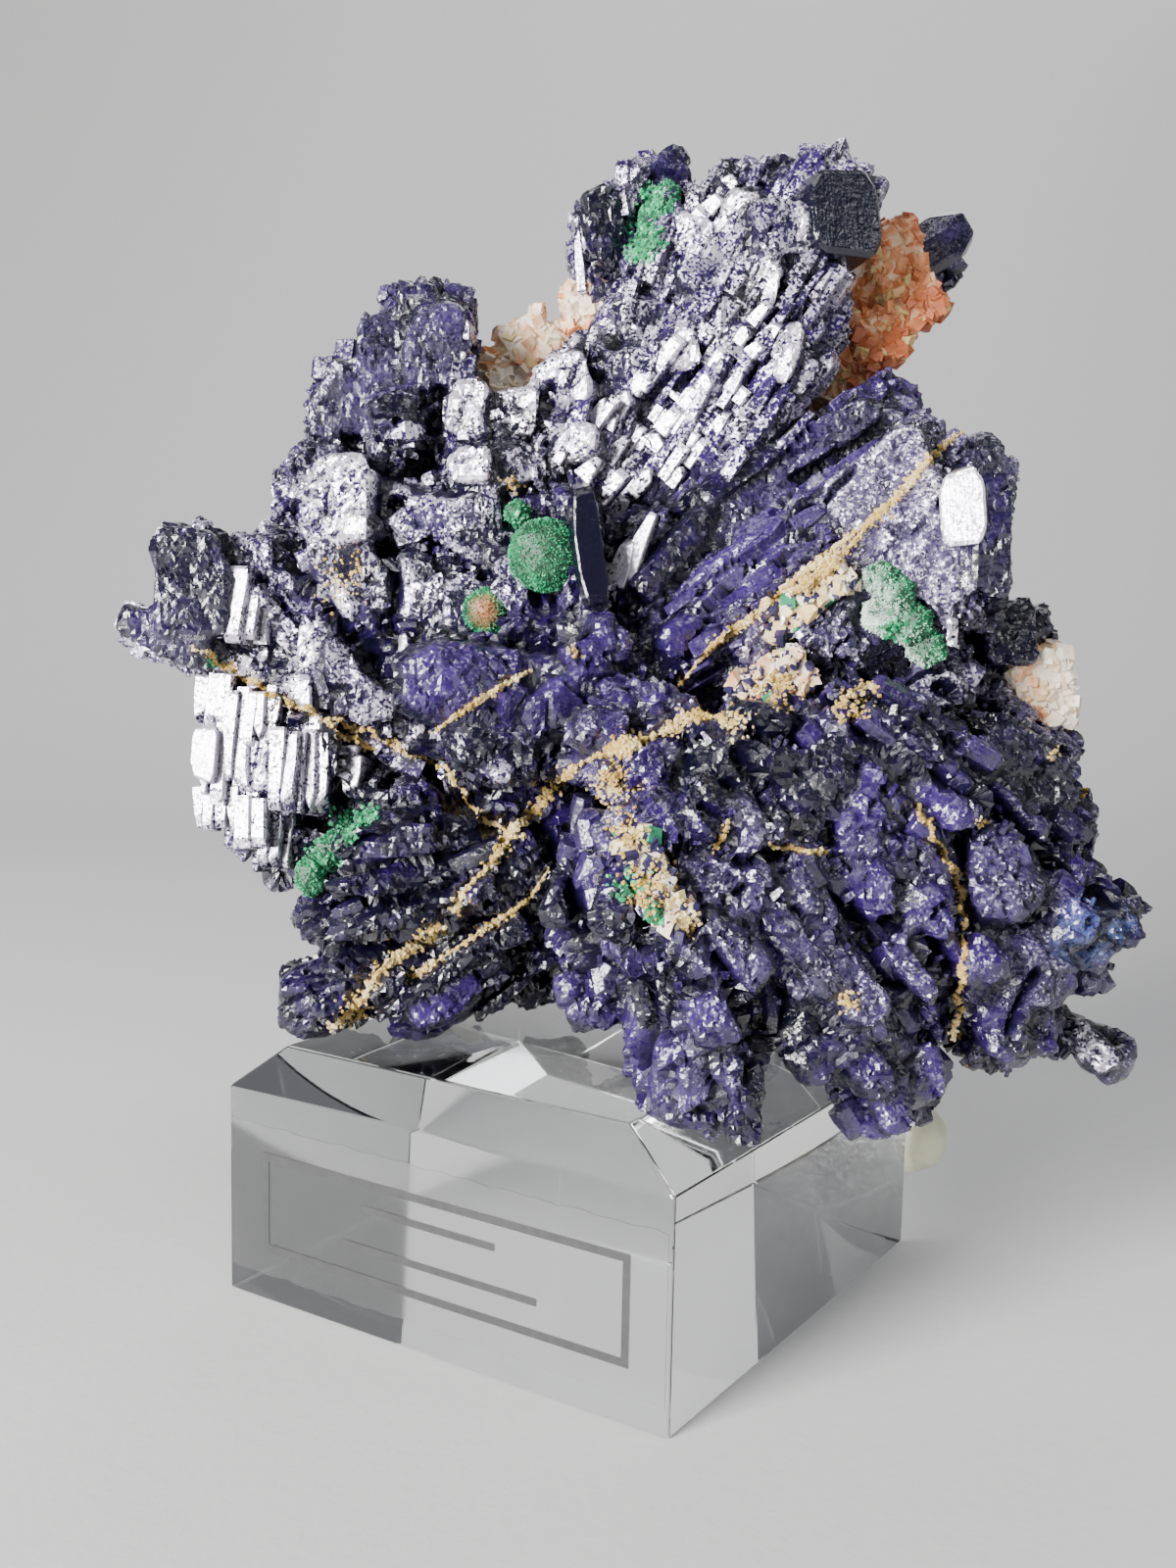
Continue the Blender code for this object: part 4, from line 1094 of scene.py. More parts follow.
def scale_relief(local, relief, pitch, rng):
    """Overlapping scales on one crystal: heights, which scale each place is on, and how near a crease is,
    which also sets the painted shade there.
    """
    length, width, height, rise = relief
    stretched = local / (width, width, length) + 0.16 * wander(local, 2.6, rng)
    count = max(3, int(len(local) * pitch ** 2 / (length * width) * 0.9))
    seeds = stretched[rng.choice(len(stretched), min(count, len(stretched)), replace=False)]
    gaps = np.linalg.norm(stretched[:, None] - seeds, axis=2)
    nearest = gaps.argmin(axis=1)
    first = gaps.min(axis=1)
    second = np.partition(gaps, 1, axis=1)[:, 1]
    crease = np.exp(-(second - first) / 0.10)
    level = rng.uniform(-0.5, 0.5, len(seeds))[nearest]
    slope = rng.normal(0, 0.20, (len(seeds), 3))[nearest]
    tilt = ((stretched - seeds[nearest]) * (width, width, length) * (slope + (0, 0, rise))).sum(axis=1)
    return height * (level - 1.1 * crease) + tilt, nearest, crease


def hollows(points, normals, quads):
    """How far each point lies below its smoothed surroundings, in millimetres."""
    first, second = quads.ravel(), np.roll(quads, -1, axis=1).ravel()
    ends, others = np.concatenate([first, second]), np.concatenate([second, first])
    degree = np.maximum(np.bincount(ends, minlength=len(points)), 1)[:, None]
    smooth = points
    for _ in range(HOLLOW_ROUNDS):
        sums = [np.bincount(ends, smooth[others, axis], len(points)) for axis in range(3)]
        smooth = np.stack(sums, axis=1) / degree
    return ((smooth - points) * normals).sum(axis=1)


def rough_surface(pitch, crystals, seeds, ground, rng):
    """The azurite's surface with crystals, scales and druse: points, quads, group of each point and its
    tones, strands, shares of tint and painted glint, and painted crease shade."""
    points, normals, quads = dense_surface(pitch, crystals, seeds, rng)
    owner = nearest_parent(points)
    roots, axes, _, _, groups = parent_table()
    reliefs = [habit[-2] for habit in HABITS.values()]
    shares = np.array([habit[-1] for habit in HABITS.values()])
    count = len(points)
    lift, crease = np.zeros(count), np.zeros(count)
    tones, strands, finish = np.zeros((count, 3)), np.zeros((count, 3)), shares[groups[owner]]
    for index in range(len(roots)):
        mine = np.flatnonzero(owner == index)
        if len(mine) < 8:
            continue
        turn = frames_from(np.array([[0.0, -1.0, 0.0]]), axes[index:index + 1])[0]
        local = (points[mine] - roots[index]) @ turn.T
        lift[mine], scale, crease[mine] = scale_relief(local, reliefs[groups[index]], pitch, rng)
        tones[mine] = rng.random((scale.max() + 1, 3))[scale]
        strands[mine] = local + STRAND_SHIFT * tones[mine]
    finish = finish * (1 + 1.1 * (tones - 0.5))
    closest = np.full(count, EDGE_REACH)
    for item in crystals:
        near = np.flatnonzero(np.linalg.norm(points - item.middle, axis=1) < np.linalg.norm(item.size) * 0.6)
        local = item.local(points[near])
        share = np.abs(local / (item.size / 2)).max(axis=1)
        mine = share < closest[near]
        near, local = near[mine], local[mine]
        closest[near] = share[mine]
        tone = rng.random(3)
        tones[near], strands[near], finish[near] = tone, local + STRAND_SHIFT * tone, item.finish
        # Painted shade on a crystal's lower sides, towards its foot
        depth = 0.5 - local[:, 1] / item.size[1]
        crease[near] = np.clip((depth - 0.16) * 2.8, 0, 1)
        lift[near] *= 0.4
    # Crevices are cut in and get painted shade
    depth, dark = crevices(points, normals)
    lift = np.clip(lift, *RELIEF_LIMITS) - depth * CREVICE_SHARE
    crease = np.maximum(crease, dark)
    lift[~clear_of_block(points, SKIN_MARGIN)] = 0.0
    beside = ground.beside(points, "malachite", SKIN_FROM_MALACHITE)
    lift[beside] = np.minimum(lift[beside], LOW_BY_MALACHITE)
    grain = rng.normal(0, RELIEF_NOISE, count)
    moved = points + normals * (lift + grain)[:, None]
    # Hollows get painted shade, and ridges a little more painted glint
    hollow = hollows(moved, normals, quads)
    crease = np.maximum(crease, np.clip(hollow * HOLLOW_SHADE, 0, 1))
    finish[:, 0] += np.clip(-hollow * 0.4, 0, 0.14)
    return moved, quads, groups[owner], tones, strands, np.hstack([finish, crease[:, None]])


def stand_crystals(kind, crystals, seeds, skin, rng):
    """The crystals of one clean kind as one piece."""
    rows, loops, starts = [], [], []
    base = 0
    for item in crystals:
        shape, faces = seeds[item.shape][rng.integers(len(seeds[item.shape]))]
        world = item.corners(shape)
        local = item.local(world)
        tone = rng.random(3)
        # Painted shade on the lower sides, towards the crystal's foot
        crease = np.clip((0.2 - local[:, 1] / item.size[1]) * 2.2, 0, 1)
        finish = np.hstack([np.tile(item.finish, (len(world), 1)), crease[:, None]])
        rows.append((world, np.tile(tone, (len(world), 1)), local + STRAND_SHIFT * tone, finish))
        for face in faces:
            starts.append(len(loops))
            loops += [base + corner for corner in face]
        base += len(world)
    points, tones, strands, finish = map(np.concatenate, zip(*rows))
    raise_mesh(f"azurite_{kind}s", points, np.array(loops), np.array(starts), tones, strands,
               skin, finish)


def raise_skin(name, number, rough, skin):
    """The part of the rough surface that belongs to one group, as its own piece."""
    points, quads, groups, tones, strands, finish = rough
    mine = quads[groups[quads[:, 0]] == number]
    used, corners = np.unique(mine.ravel(), return_inverse=True)
    piece = raise_mesh(f"azurite_{name}_skin", points[used], corners.ravel(), np.arange(len(mine)) * 4,
                       tones[used], strands[used], skin, finish[used])
    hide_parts("azurite_cluster")


def kept_short(tips, tree, reach):
    """Which tips end inside the surface or within reach of it."""
    keep = np.ones(len(tips), dtype=bool)
    for index, tip in enumerate(tips.tolist()):
        place, normal, _, gap = tree.find_nearest(Vector(tip))
        keep[index] = gap < reach or (Vector(tip) - place).dot(normal) < 0
    return keep


def grow_group(name, habit, candidates, seeds, sizes, ground, skin, rng):
    """Ledge crystals and druse grains of one growth group."""
    lengths, widths, proud, lift, cover, grain_cover, lean, shape, _relief, finish = habit
    places, normals, axes, density = candidates
    mean_area = np.mean(lengths) * np.mean(widths) * sizes.crystal_scale ** 2
    chosen = rng.random(len(places)) < cover / mean_area / density
    spot, out, along = places[chosen], normals[chosen], axes[chosen]
    slope = (out * along).sum(-1)
    end = np.abs(slope) > 0.72
    count = len(spot)
    aim = np.where(end[:, None], along * np.sign(slope)[:, None], along) + rng.normal(0, 0.025, (count, 3))
    common = np.array([lean[0], -1.0, lean[1]])
    front = (out[:, 1:2] < FRONT_LIMIT) & (lean[0] < 0)
    shared = (1 - COMMON_SHARE) * out + COMMON_SHARE * common
    face = np.where(end[:, None], common, np.where(front, shared, out))
    face = face + rng.normal(0, 0.05, (count, 3))
    tilt = math.radians(lift) * rng.uniform(0.3, 1.4, count)[:, None]
    triples = frames_from(face, aim)
    tilted = triples[:, 2] * np.cos(tilt) + triples[:, 1] * np.sin(tilt)
    triples = frames_from(triples[:, 1], np.where(end[:, None], triples[:, 2], tilted))
    size = np.stack([rng.uniform(*widths, count), np.full(count, 2.2),
                     rng.uniform(*lengths, count) * rng.uniform(0.6, 1.0, count)],
                    axis=1) * sizes.crystal_scale
    stand = rng.uniform(*proud, count) * np.where(out[:, 1] < -0.5, 1.0, 0.45) * np.where(end, 0.4, 1.0)
    size[end, 1] = size[end, 0] * rng.uniform(0.7, 1.2, end.sum())
    size[end, 2] = 3.0
    base = spot - triples[:, 2] * size[:, 2:3] * 0.5 + triples[:, 1] * (stand - size[:, 1] / 2)[:, None]
    tip_base = spot - triples[:, 2] * (size[:, 2] - stand * 1.4)[:, None]
    base = np.where(end[:, None], tip_base, base)
    tips = base + triples[:, 2] * size[:, 2:3]
    fit = clear_of_block(base) & clear_of_block(tips)
    fit &= kept_short(tips, ground.tree, TIP_REACH)
    for share in (0.2, 0.6, 1.0):
        spots = base * (1 - share) + tips * share + triples[:, 1] * 0.8
        fit &= ~ground.beside(spots, "malachite", LEDGE_FROM_MALACHITE)
    spread_copies(f"azurite_{name}_ledges", seeds[shape],
                  triples[fit], size[fit], base[fit], rng, skin, finish)
    grow_grains(name, grain_cover, candidates, seeds["grain"], sizes, rng, skin, finish)


def grow_grains(name, cover, candidates, seeds, sizes, rng, skin, finish):
    """Druse grains scattered over one growth group."""
    places, normals, axes, density = candidates
    side = sizes.grain_size / MM
    chosen = rng.random(len(places)) < cover / side ** 2 / density
    spot, out, along = places[chosen], normals[chosen], axes[chosen]
    count = len(spot)
    aim = out + rng.normal(0, 0.35, (count, 3))
    triples = frames_from(along + rng.normal(0, 0.3, (count, 3)), aim)
    size = side * rng.uniform(0.6, 1.5, (count, 3))
    size[:, 2] = side * 2.6
    base = spot - triples[:, 2] * (size[:, 2] - rng.uniform(0.25, 1.0, count) * side)[:, None]
    fit = clear_of_block(base + triples[:, 2] * size[:, 2:3], GRAIN_MARGIN)
    spread_copies(f"azurite_{name}_druse", seeds,
                  triples[fit], size[fit], base[fit], rng, skin, finish)


# ---- sight points


def sight_ray(x, y):
    """Start and direction, in the block's frame, of the camera's ray through a point of the picture."""
    camera = bpy.context.scene.camera
    local = Vector(((x - PICTURE[0] / 2) / FOCAL, (PICTURE[1] / 2 - y) / FOCAL, -1.0))
    return camera.matrix_world.translation, (camera.matrix_world.to_3x3() @ local).normalized()


def seen_at(x, y, graph):
    """Where a sight point lands on the specimen, with the normal there, or None."""
    origin, way = sight_ray(x, y)
    hit, place, normal, _, piece, _ = bpy.context.scene.ray_cast(graph, origin, way)
    if not hit or "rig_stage" in piece or piece.name.startswith("acrylic"):
        return None
    return place, normal


def patch(centre, reach, count, rng):
    """Sight points scattered round a spot."""
    spread = reach * UNITS_PER_MM * 0.5
    return [(centre[0] + rng.normal(0, spread), centre[1] + rng.normal(0, spread)) for _ in range(count)]


def strew_crumbs(name, spots, grain, graph, skin, rng):
    """Crumbs laid where the sight points land."""
    landed = [seen for seen in (seen_at(x, y, graph) for x, y in spots) if seen]
    places = to_specimen(np.array([place[:] for place, _ in landed]))
    normals = to_specimen(np.array([normal[:] for _, normal in landed])) * MM
    count = len(places)
    axes = frames_from(rng.normal(0, 1, (count, 3)), normals + rng.normal(0, 0.5, (count, 3)))
    size = rng.uniform(*grain, (count, 1)) * rng.uniform(0.7, 1.3, (count, 3))
    spread_copies(name, nodule_seeds(), axes, size, places, rng, skin)


# ---- finishes


def azurite_skin(teal_spot):
    """Azurite: navy to violet body, lilac frost, painted glints as pale silvery cells, creases darkened with
    painted shade, striae, and a teal tinge round one spot."""
    colours = bpy.context.scene.specimen_colours
    facet = bpy.context.scene.specimen_sizes.facet_size
    sheet = Sheet("azurite_druse")
    place = sheet.place()
    finish = sheet.attribute("finish")
    crease = sheet.attribute("crease", "Fac")
    strand = sheet.attribute("strand", "Vector")
    glint_share, violet, frost = (sheet.part(finish, axis) for axis in range(3))
    fine = sheet.cells(place, facet)
    broad = sheet.cells(place, facet * 3.0)
    cloud = sheet.noise(place, 2.4 * MM, 5.0, 0.62)
    zone = sheet.noise(place, 7 * MM, 3.0)
    striae = sheet.noise(sheet.vector("MULTIPLY", strand, (1.0, 1.0, 0.06)), 0.22 * MM, 2.0)
    deep = ((zone - 0.5) * 2.4 + (cloud - 0.5) * 2.0 + violet).clamp()
    body = sheet.mix(deep, colours.navy, colours.violet)
    powder = (frost * (0.25 + 1.1 * sheet.part(fine, 1)) + (cloud - 0.52) * 2.0 * frost - 0.10).clamp() * 0.9
    away = sheet.vector("DISTANCE", place, teal_spot, output="Value")
    teal = ((TEAL_REACH * MM - away) * 400.0 + (cloud - 0.5) * 3.0).clamp() * sheet.part(fine, 2)
    body = sheet.mix(teal, sheet.mix(powder, body, LILAC), TEAL)
    # Painted glint: cells where the glint share is high get a pale silvery base colour that stands in for the
    # key light's glints, varied cell by cell and along the striae, and none where there is painted crease
    # shade; part of it also shines like metal
    cover = (glint_share - 0.66 * sheet.part(fine, 0) - 0.30 * sheet.part(broad, 0) + (cloud - 0.5) * 0.8
             + (striae - 0.5) * 0.5 - 0.9 * crease)
    bright = (cover * 8.0 + 0.2).clamp()
    shine = sheet.mix((glint_share * 1.5).clamp(), tuple(2.0 * part for part in LILAC), colours.glint)
    grain = (0.62 + 0.55 * sheet.part(fine, 2) - 1.1 * (striae - 0.5) - 0.5 * (cloud - 0.5)).clamp()
    colour = sheet.mix(bright * (0.30 + 0.70 * grain), body, shine)
    # Painted shade: creases, crevices, hollows and the feet of crystals darkened towards navy
    colour = sheet.mix((crease * 0.92).clamp(), colour, colours.navy)
    druse = (glint_share * 0.2 + frost * 0.8).clamp() * 0.50 + 0.06
    rough = 0.11 + 0.22 * druse + 0.12 * bright + 0.08 * sheet.part(fine, 1)
    normal = sheet.facets([(fine, druse), (broad, druse * 0.5)])
    normal = sheet.bump(sheet.noise(place, 0.55 * MM, 4.0, 0.6), 0.10 * MM, 0.8, normal)
    normal = sheet.bump(striae, 0.035 * MM, 0.7, normal)
    return sheet.set(Base_Color=colour, Roughness=rough, Metallic=bright * SILVER_SHEEN, Normal=normal,
                     IOR=1.73)


def seam_skin():
    """Ochre to cream crumbs stained with rust."""
    colours = bpy.context.scene.specimen_colours
    sheet = Sheet("ochre_seam")
    place = sheet.place()
    tone = sheet.attribute("tone")
    blotch = sheet.noise(place, 3.2 * MM, 4.0)
    fine = sheet.noise(place, 0.25 * MM, 2.0)
    body = sheet.mix(((blotch - 0.45) * 4.0 + (sheet.part(tone, 0) - 0.5) * 0.7).clamp(),
                     colours.ochre, colours.cream)
    stain = ((sheet.part(tone, 1) - 0.80) * 4.0).clamp() * 0.7
    colour = sheet.mix(stain, body, RUST)
    return sheet.set(Base_Color=colour, Roughness=0.62, Normal=sheet.bump(fine, 0.05 * MM, 0.7))


def matrix_skin(name, warm, yellow, blue):
    """Matrix crust: cream to salmon orange, warmer towards the right, with yellow crumbs and a share
    of azurite and malachite grains among them."""
    sheet = Sheet(name)
    place = sheet.place()
    tone = sheet.attribute("tone")
    blotch = sheet.noise(place, 5 * MM, 4.0)
    spots = sheet.noise(place, 1.3 * MM, 3.0)
    fine = sheet.cells(place, 0.35 * MM)
    heat = (warm + (blotch - 0.5) * 2.6 + sheet.part(place, 0) * 18.0
            + (sheet.part(tone, 0) - 0.5) * 0.5).clamp()
    body = sheet.node("ValToRGB", {0: heat}, stops=[
        (0.0, (0.86, 0.78, 0.66)), (0.4, (0.84, 0.60, 0.40)),
        (0.7, (0.70, 0.29, 0.12)), (1.0, (0.46, 0.13, 0.05))])
    stain = ((spots - 0.62) * 8.0).clamp() * 0.8
    body = sheet.mix((sheet.part(tone, 1) > 1.0 - yellow) * 0.8, body, (0.70, 0.55, 0.24))
    if blue:
        share = sheet.part(tone, 2) * 0.7 + (spots - 0.5) * 1.4 + 0.15
        body = sheet.mix(share > 1.0 - blue, body, (0.012, 0.008, 0.055))
        body = sheet.mix(sheet.part(tone, 2) > 1.0 - 0.14 * blue, body, (0.02, 0.26, 0.12))
    colour = sheet.mix(stain, body, (0.16, 0.07, 0.03))
    return sheet.set(Base_Color=colour, Roughness=0.42 + 0.2 * sheet.part(tone, 2),
                     Normal=sheet.facets([(fine, 0.22)]), Subsurface_Weight=0.15,
                     Subsurface_Radius=(1.0 * MM, 0.6 * MM, 0.4 * MM), Subsurface_Scale=1.0)


def malachite_skin(name, ochre_core=None, pale_side=None):
    """Velvety malachite: dark to bright green, with an ochre core or a whitish side where given."""
    green = Vector(bpy.context.scene.specimen_colours.malachite)
    sheet = Sheet(name)
    place = sheet.place()
    tone = sheet.attribute("tone")
    blotch = sheet.noise(place, 1.6 * MM, 3.0)
    light = (sheet.part(tone, 0) * 0.8 + (blotch - 0.5) * 1.6).clamp()
    body = sheet.mix(light, green * 0.22, green * 2.1 + Vector((0.0, 0.04, 0.01)))
    # Painted sparkle: a share of the needles get a pale mint colour that stands in for glints
    spark = ((sheet.part(tone, 1) - 0.86) * 6.0).clamp()
    colour = sheet.mix(spark * 0.8, body, (0.22, 0.75, 0.42))
    if ochre_core is not None:
        away = sheet.vector("DISTANCE", place, ochre_core, output="Value")
        core = ((1.75 * MM - away) * 900.0 + (blotch - 0.5) * 1.5).clamp()
        ochre = sheet.mix(sheet.part(tone, 2), (0.26, 0.09, 0.03), (0.50, 0.32, 0.12))
        colour = sheet.mix(core, colour, ochre)
    if pale_side is not None:
        way, offset = pale_side
        side = sheet.vector("DOT_PRODUCT", place, way, output="Value") + offset
        pale = (side * 500.0 + (blotch - 0.5) * 3.5 + (sheet.part(tone, 2) - 0.5) * 1.2).clamp()
        colour = sheet.mix(pale * 0.85, colour, (0.70, 0.84, 0.76))
    return sheet.set(Base_Color=colour, Roughness=0.55, IOR=1.6)


# ---- operators


class SPECIMEN_OT_stage(bpy.types.Operator):
    """Set the camera, the floor with its sweep, and the lights"""

    bl_idname = "specimen.stage"
    bl_label = "Stage"

    # The floor in metres: its side, where its back edge is, the wall's height and the curve between them
    FLOOR_SIDE = 4.0
    FLOOR_BACK = 0.8
    WALL_HEIGHT = 2.5
    SWEEP_RADIUS = 0.5

    def execute(self, context):
        self.camera(context)
        self.sweep()
        self.lights(context)
        return {"FINISHED"}

    def camera(self, context):
        """The viewpoint: its spot, and its turn from azimuth, elevation and roll."""
        lens = bpy.data.cameras.new("viewpoint")
        lens.lens = CAMERA_LENS
        lens.sensor_width = SENSOR
        lens.clip_start = 0.005
        viewer = bring_in("viewpoint", lens)
        back = Vector(way_from(CAMERA_AZIMUTH, CAMERA_ELEVATION))
        right = Vector((0, 0, 1)).cross(back).normalized()
        up = back.cross(right)
        cos, sin = math.cos(CAMERA_ROLL), math.sin(CAMERA_ROLL)
        turn = Matrix((cos * right + sin * up, cos * up - sin * right, back)).transposed().to_4x4()
        viewer.matrix_world = Matrix.Translation(Vector(CAMERA_SPOT) * MM) @ turn
        context.scene.camera = viewer
        context.view_layer.update()

    def sweep(self):
        """A pale floor that curves up into a wall behind the specimen."""
        start()
        middle = self.FLOOR_BACK - self.FLOOR_SIDE / 2
        bpy.ops.mesh.primitive_plane_add(size=self.FLOOR_SIDE, location=(0, middle, -FLOOR_GAP * MM))
        floor = bpy.context.object
        floor.name = "floor_sweep"
        set_down()
        points = floor.data.vertices
        for edge in floor.data.edges:
            edge.select = all(points[index].co.y > 0 for index in edge.vertices)
        for vert in points:
            vert.select = vert.co.y > 0
        floor.data.polygons[0].select = False
        with editing(select=False):
            bpy.ops.mesh.select_mode(type="EDGE")
            bpy.ops.mesh.extrude_region_move(TRANSFORM_OT_translate={"value": (0, 0, self.WALL_HEIGHT)})
        points = floor.data.vertices
        for edge in floor.data.edges:
            ends = [points[index].co for index in edge.vertices]
            edge.select = all(abs(end.y - self.FLOOR_BACK) < 1e-3 and abs(end.z) < 1e-3 for end in ends)
        with editing(select=False):
            bpy.ops.mesh.bevel(offset=self.SWEEP_RADIUS, segments=14, affect="EDGES")
        floor.data.transform(Matrix.Rotation(CAMERA_AZIMUTH, 4, "Z"))
        floor.data.shade_smooth()
        sheet = Sheet("floor_paper")
        grain = sheet.noise(sheet.place(), 1.5 * MM, 4.0)
        shade = sheet.mix(grain, (0.60, 0.60, 0.61), (0.66, 0.66, 0.66))
        floor.data.materials.append(sheet.set(Base_Color=shade, Roughness=0.8,
                                              Normal=sheet.bump(grain, 0.08 * MM, 0.4)))
        floor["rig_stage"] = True

    def lights(self, context):
        """Four soft panels, each with its size in metres, watts and colour, and a faint even light."""
        self.panel("key", *KEY_LIGHT, 0.24, 14.5, (1.0, 0.98, 0.95))
        self.panel("over", *OVER_LIGHT, 0.50, 2.8, (1.0, 1.0, 1.0))
        self.panel("behind", *REAR_LIGHT, 0.50, 2.0, (0.95, 0.97, 1.0))
        self.panel("side", *SIDE_LIGHT, 0.20, 1.0, (0.94, 0.97, 1.0))
        world = bpy.data.worlds.new("studio")
        world.use_nodes = True
        background = world.node_tree.nodes["Background"]
        background.inputs["Color"].default_value = (0.93, 0.95, 1.0, 1.0)
        background.inputs["Strength"].default_value = WORLD_STRENGTH
        context.scene.world = world

    def panel(self, name, azimuth, elevation, away, size, watts, colour):
        """A square soft light aimed at the specimen, its azimuth counted from the camera's."""
        lamp = bpy.data.lights.new(name, "AREA")
        lamp.shape = "SQUARE"
        lamp.size = size
        lamp.energy = watts
        lamp.color = colour
        holder = bring_in(name, lamp)
        way = Vector(way_from(CAMERA_AZIMUTH + math.radians(azimuth), math.radians(elevation)))
        holder.location = Vector(LIGHT_AIM) + way * away
        holder.rotation_euler = way.to_track_quat("Z", "Y").to_euler()


class SPECIMEN_OT_block(bpy.types.Operator):
    """Model the clear display block with sloped top edges"""

    bl_idname = "specimen.block"
    bl_label = "Display block"

    def execute(self, context):
        start()
        side, height, shoulder = BLOCK_SIDE * MM, BLOCK_HEIGHT * MM, SHOULDER_HEIGHT * MM
        bpy.ops.mesh.primitive_cube_add(size=1.0, location=(0, 0, height / 2))
        block = context.object
        block.name = "display_block"
        block.scale = (side, side, height)
        set_down()
        rise = BLOCK_HEIGHT - SHOULDER_HEIGHT
        with editing(select=False):
            for way in (1, -1):
                edge = way * side / 2
                slice_selected((edge, 0, shoulder), Vector((way * rise, 0, SIDE_SLOPE)).normalized())
                slice_selected((0, edge, shoulder), Vector((0, way * rise, FRONT_SLOPE)).normalized())
            bpy.ops.mesh.select_all(action="SELECT")
            bpy.ops.mesh.normals_make_consistent(inside=False)
        rounding = block.modifiers.new("edges", "BEVEL")
        rounding.width = context.scene.specimen_sizes.edge_round
        rounding.segments = 3
        rounding.limit_method = "ANGLE"
        rounding.angle_limit = math.radians(15)
        bpy.ops.object.modifier_apply(modifier="edges")
        bpy.ops.object.shade_smooth_by_angle(angle=math.radians(12))
        settle(block, self.acrylic())
        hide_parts("acrylic_base")
        return {"FINISHED"}

    def acrylic(self):
        """Polished clear acrylic with faint hairline scratches."""
        sheet = Sheet("clear_acrylic")
        place = sheet.place()
        stretched = sheet.vector("MULTIPLY", place, (1.0, 1.0, 14.0))
        hair = sheet.noise(stretched, 6 * MM, 6.0, 0.7)
        scratch = sheet.node("ValToRGB", {0: hair}, stops=[
            (0.0, (0, 0, 0)), (0.49, (0, 0, 0)), (0.5, (1, 1, 1)), (0.51, (0, 0, 0))])
        rough = 0.012 + 0.10 * sheet.part(scratch, 0)
        return sheet.set(Base_Color=(0.97, 0.985, 0.985), Roughness=rough, IOR=1.49, Transmission_Weight=1.0)


class SPECIMEN_OT_label(bpy.types.Operator):
    """Print the block's label: a frame and two plain rules on a clear film"""

    bl_idname = "specimen.label"
    bl_label = "Label"

    # In millimetres: the film's width and heights, how far it and the ink lie off the block, their
    # thickness, the film's uneven rim, the frame's middle, each rule's middle and length, the rules'
    # height and round corners
    FILM_SPAN = 49.2
    FILM_LOW, FILM_HIGH = 2.6, 17.4
    FILM_LIFT, FILM_DEPTH, FILM_RAGGED = 0.03, 0.05, 0.10
    INK_LIFT, INK_DEPTH = 0.11, 0.02
    FRAME_CENTRE = (0.35, 9.9)
    RULES = [((-0.2, 12.0), 15.0), ((0.8, 8.2), 22.0)]
    RULE_HEIGHT = 0.7
    RULE_ROUND = 0.12

    def execute(self, context):
        self.film()
        ink = self.ink()
        self.outline(context.scene.specimen_sizes, ink)
        for index, (centre, length) in enumerate(self.RULES):
            self.bar(f"label_rule_{index}", centre, length, ink)
        return {"FINISHED"}

    def plate(self, name, centre, width, height, lift):
        """A flat rectangle standing just in front of the block's front face."""
        start()
        spot = (centre[0] * MM, -(BLOCK_SIDE / 2 + lift) * MM, centre[1] * MM)
        bpy.ops.mesh.primitive_plane_add(size=1.0, location=spot, rotation=(math.radians(90), 0, 0))
        bpy.context.object.name = name
        bpy.context.object.scale = (width, height, 1.0)
        set_down()
        return bpy.context.object

    def thicken(self, piece, depth):
        """Give a flat plate its thickness, outwards from the block."""
        wall = piece.modifiers.new("wall", "SOLIDIFY")
        wall.thickness = depth * MM
        wall.offset = 1.0
        bpy.ops.object.modifier_apply(modifier="wall")

    def film(self):
        """The clear film that the label is printed on, with slightly uneven long edges."""
        middle, tall = (self.FILM_LOW + self.FILM_HIGH) / 2, self.FILM_HIGH - self.FILM_LOW
        film = self.plate("label_film", (0, middle), self.FILM_SPAN * MM, tall * MM, self.FILM_LIFT)
        with editing():
            bpy.ops.mesh.subdivide(number_cuts=40)
        for vert in film.data.vertices:
            rim = abs(vert.co.z / MM - middle) / (tall / 2)
            if rim > 0.99:
                wave = math.sin(vert.co.x / MM * 1.7) + 0.6 * math.sin(vert.co.x / MM * 4.3 + 1)
                vert.co.z += self.FILM_RAGGED * MM * wave
        self.thicken(film, self.FILM_DEPTH)
        sheet = Sheet("label_film")
        haze = sheet.noise(sheet.place(), 7 * MM, 5.0, 0.7)
        settle(film, sheet.set(Base_Color=(0.96, 0.96, 0.96), Roughness=0.04 + 0.10 * haze, IOR=1.46,
                               Transmission_Weight=1.0))

    def outline(self, sizes, ink):
        """The label's plain rectangular frame."""
        line = self.plate("label_frame", self.FRAME_CENTRE, sizes.label_width, sizes.label_height,
                          self.INK_LIFT)
        with editing(select=False):
            bpy.ops.mesh.select_mode(type="FACE")
            bpy.ops.mesh.select_all(action="SELECT")
            bpy.ops.mesh.inset(thickness=sizes.label_line, use_outset=False)
            bpy.ops.mesh.delete(type="FACE")
        self.thicken(line, self.INK_DEPTH)
        settle(line, ink)

    def bar(self, name, centre, length, ink):
        """A plain rule with slightly rounded corners."""
        rule = self.plate(name, centre, length * MM, self.RULE_HEIGHT * MM, self.INK_LIFT)
        with editing():
            bpy.ops.mesh.bevel(offset=self.RULE_ROUND * MM, segments=2, affect="VERTICES")
        self.thicken(rule, self.INK_DEPTH)
        settle(rule, ink)

    def ink(self):
        """Thin grey-black printing ink, slightly uneven."""
        sheet = Sheet("printing_ink")
        blotch = sheet.noise(sheet.place(), 0.8 * MM, 3.0)
        shade = sheet.mix(blotch, (0.020, 0.020, 0.022), (0.060, 0.060, 0.062))
        return sheet.set(Base_Color=shade, Roughness=0.5)


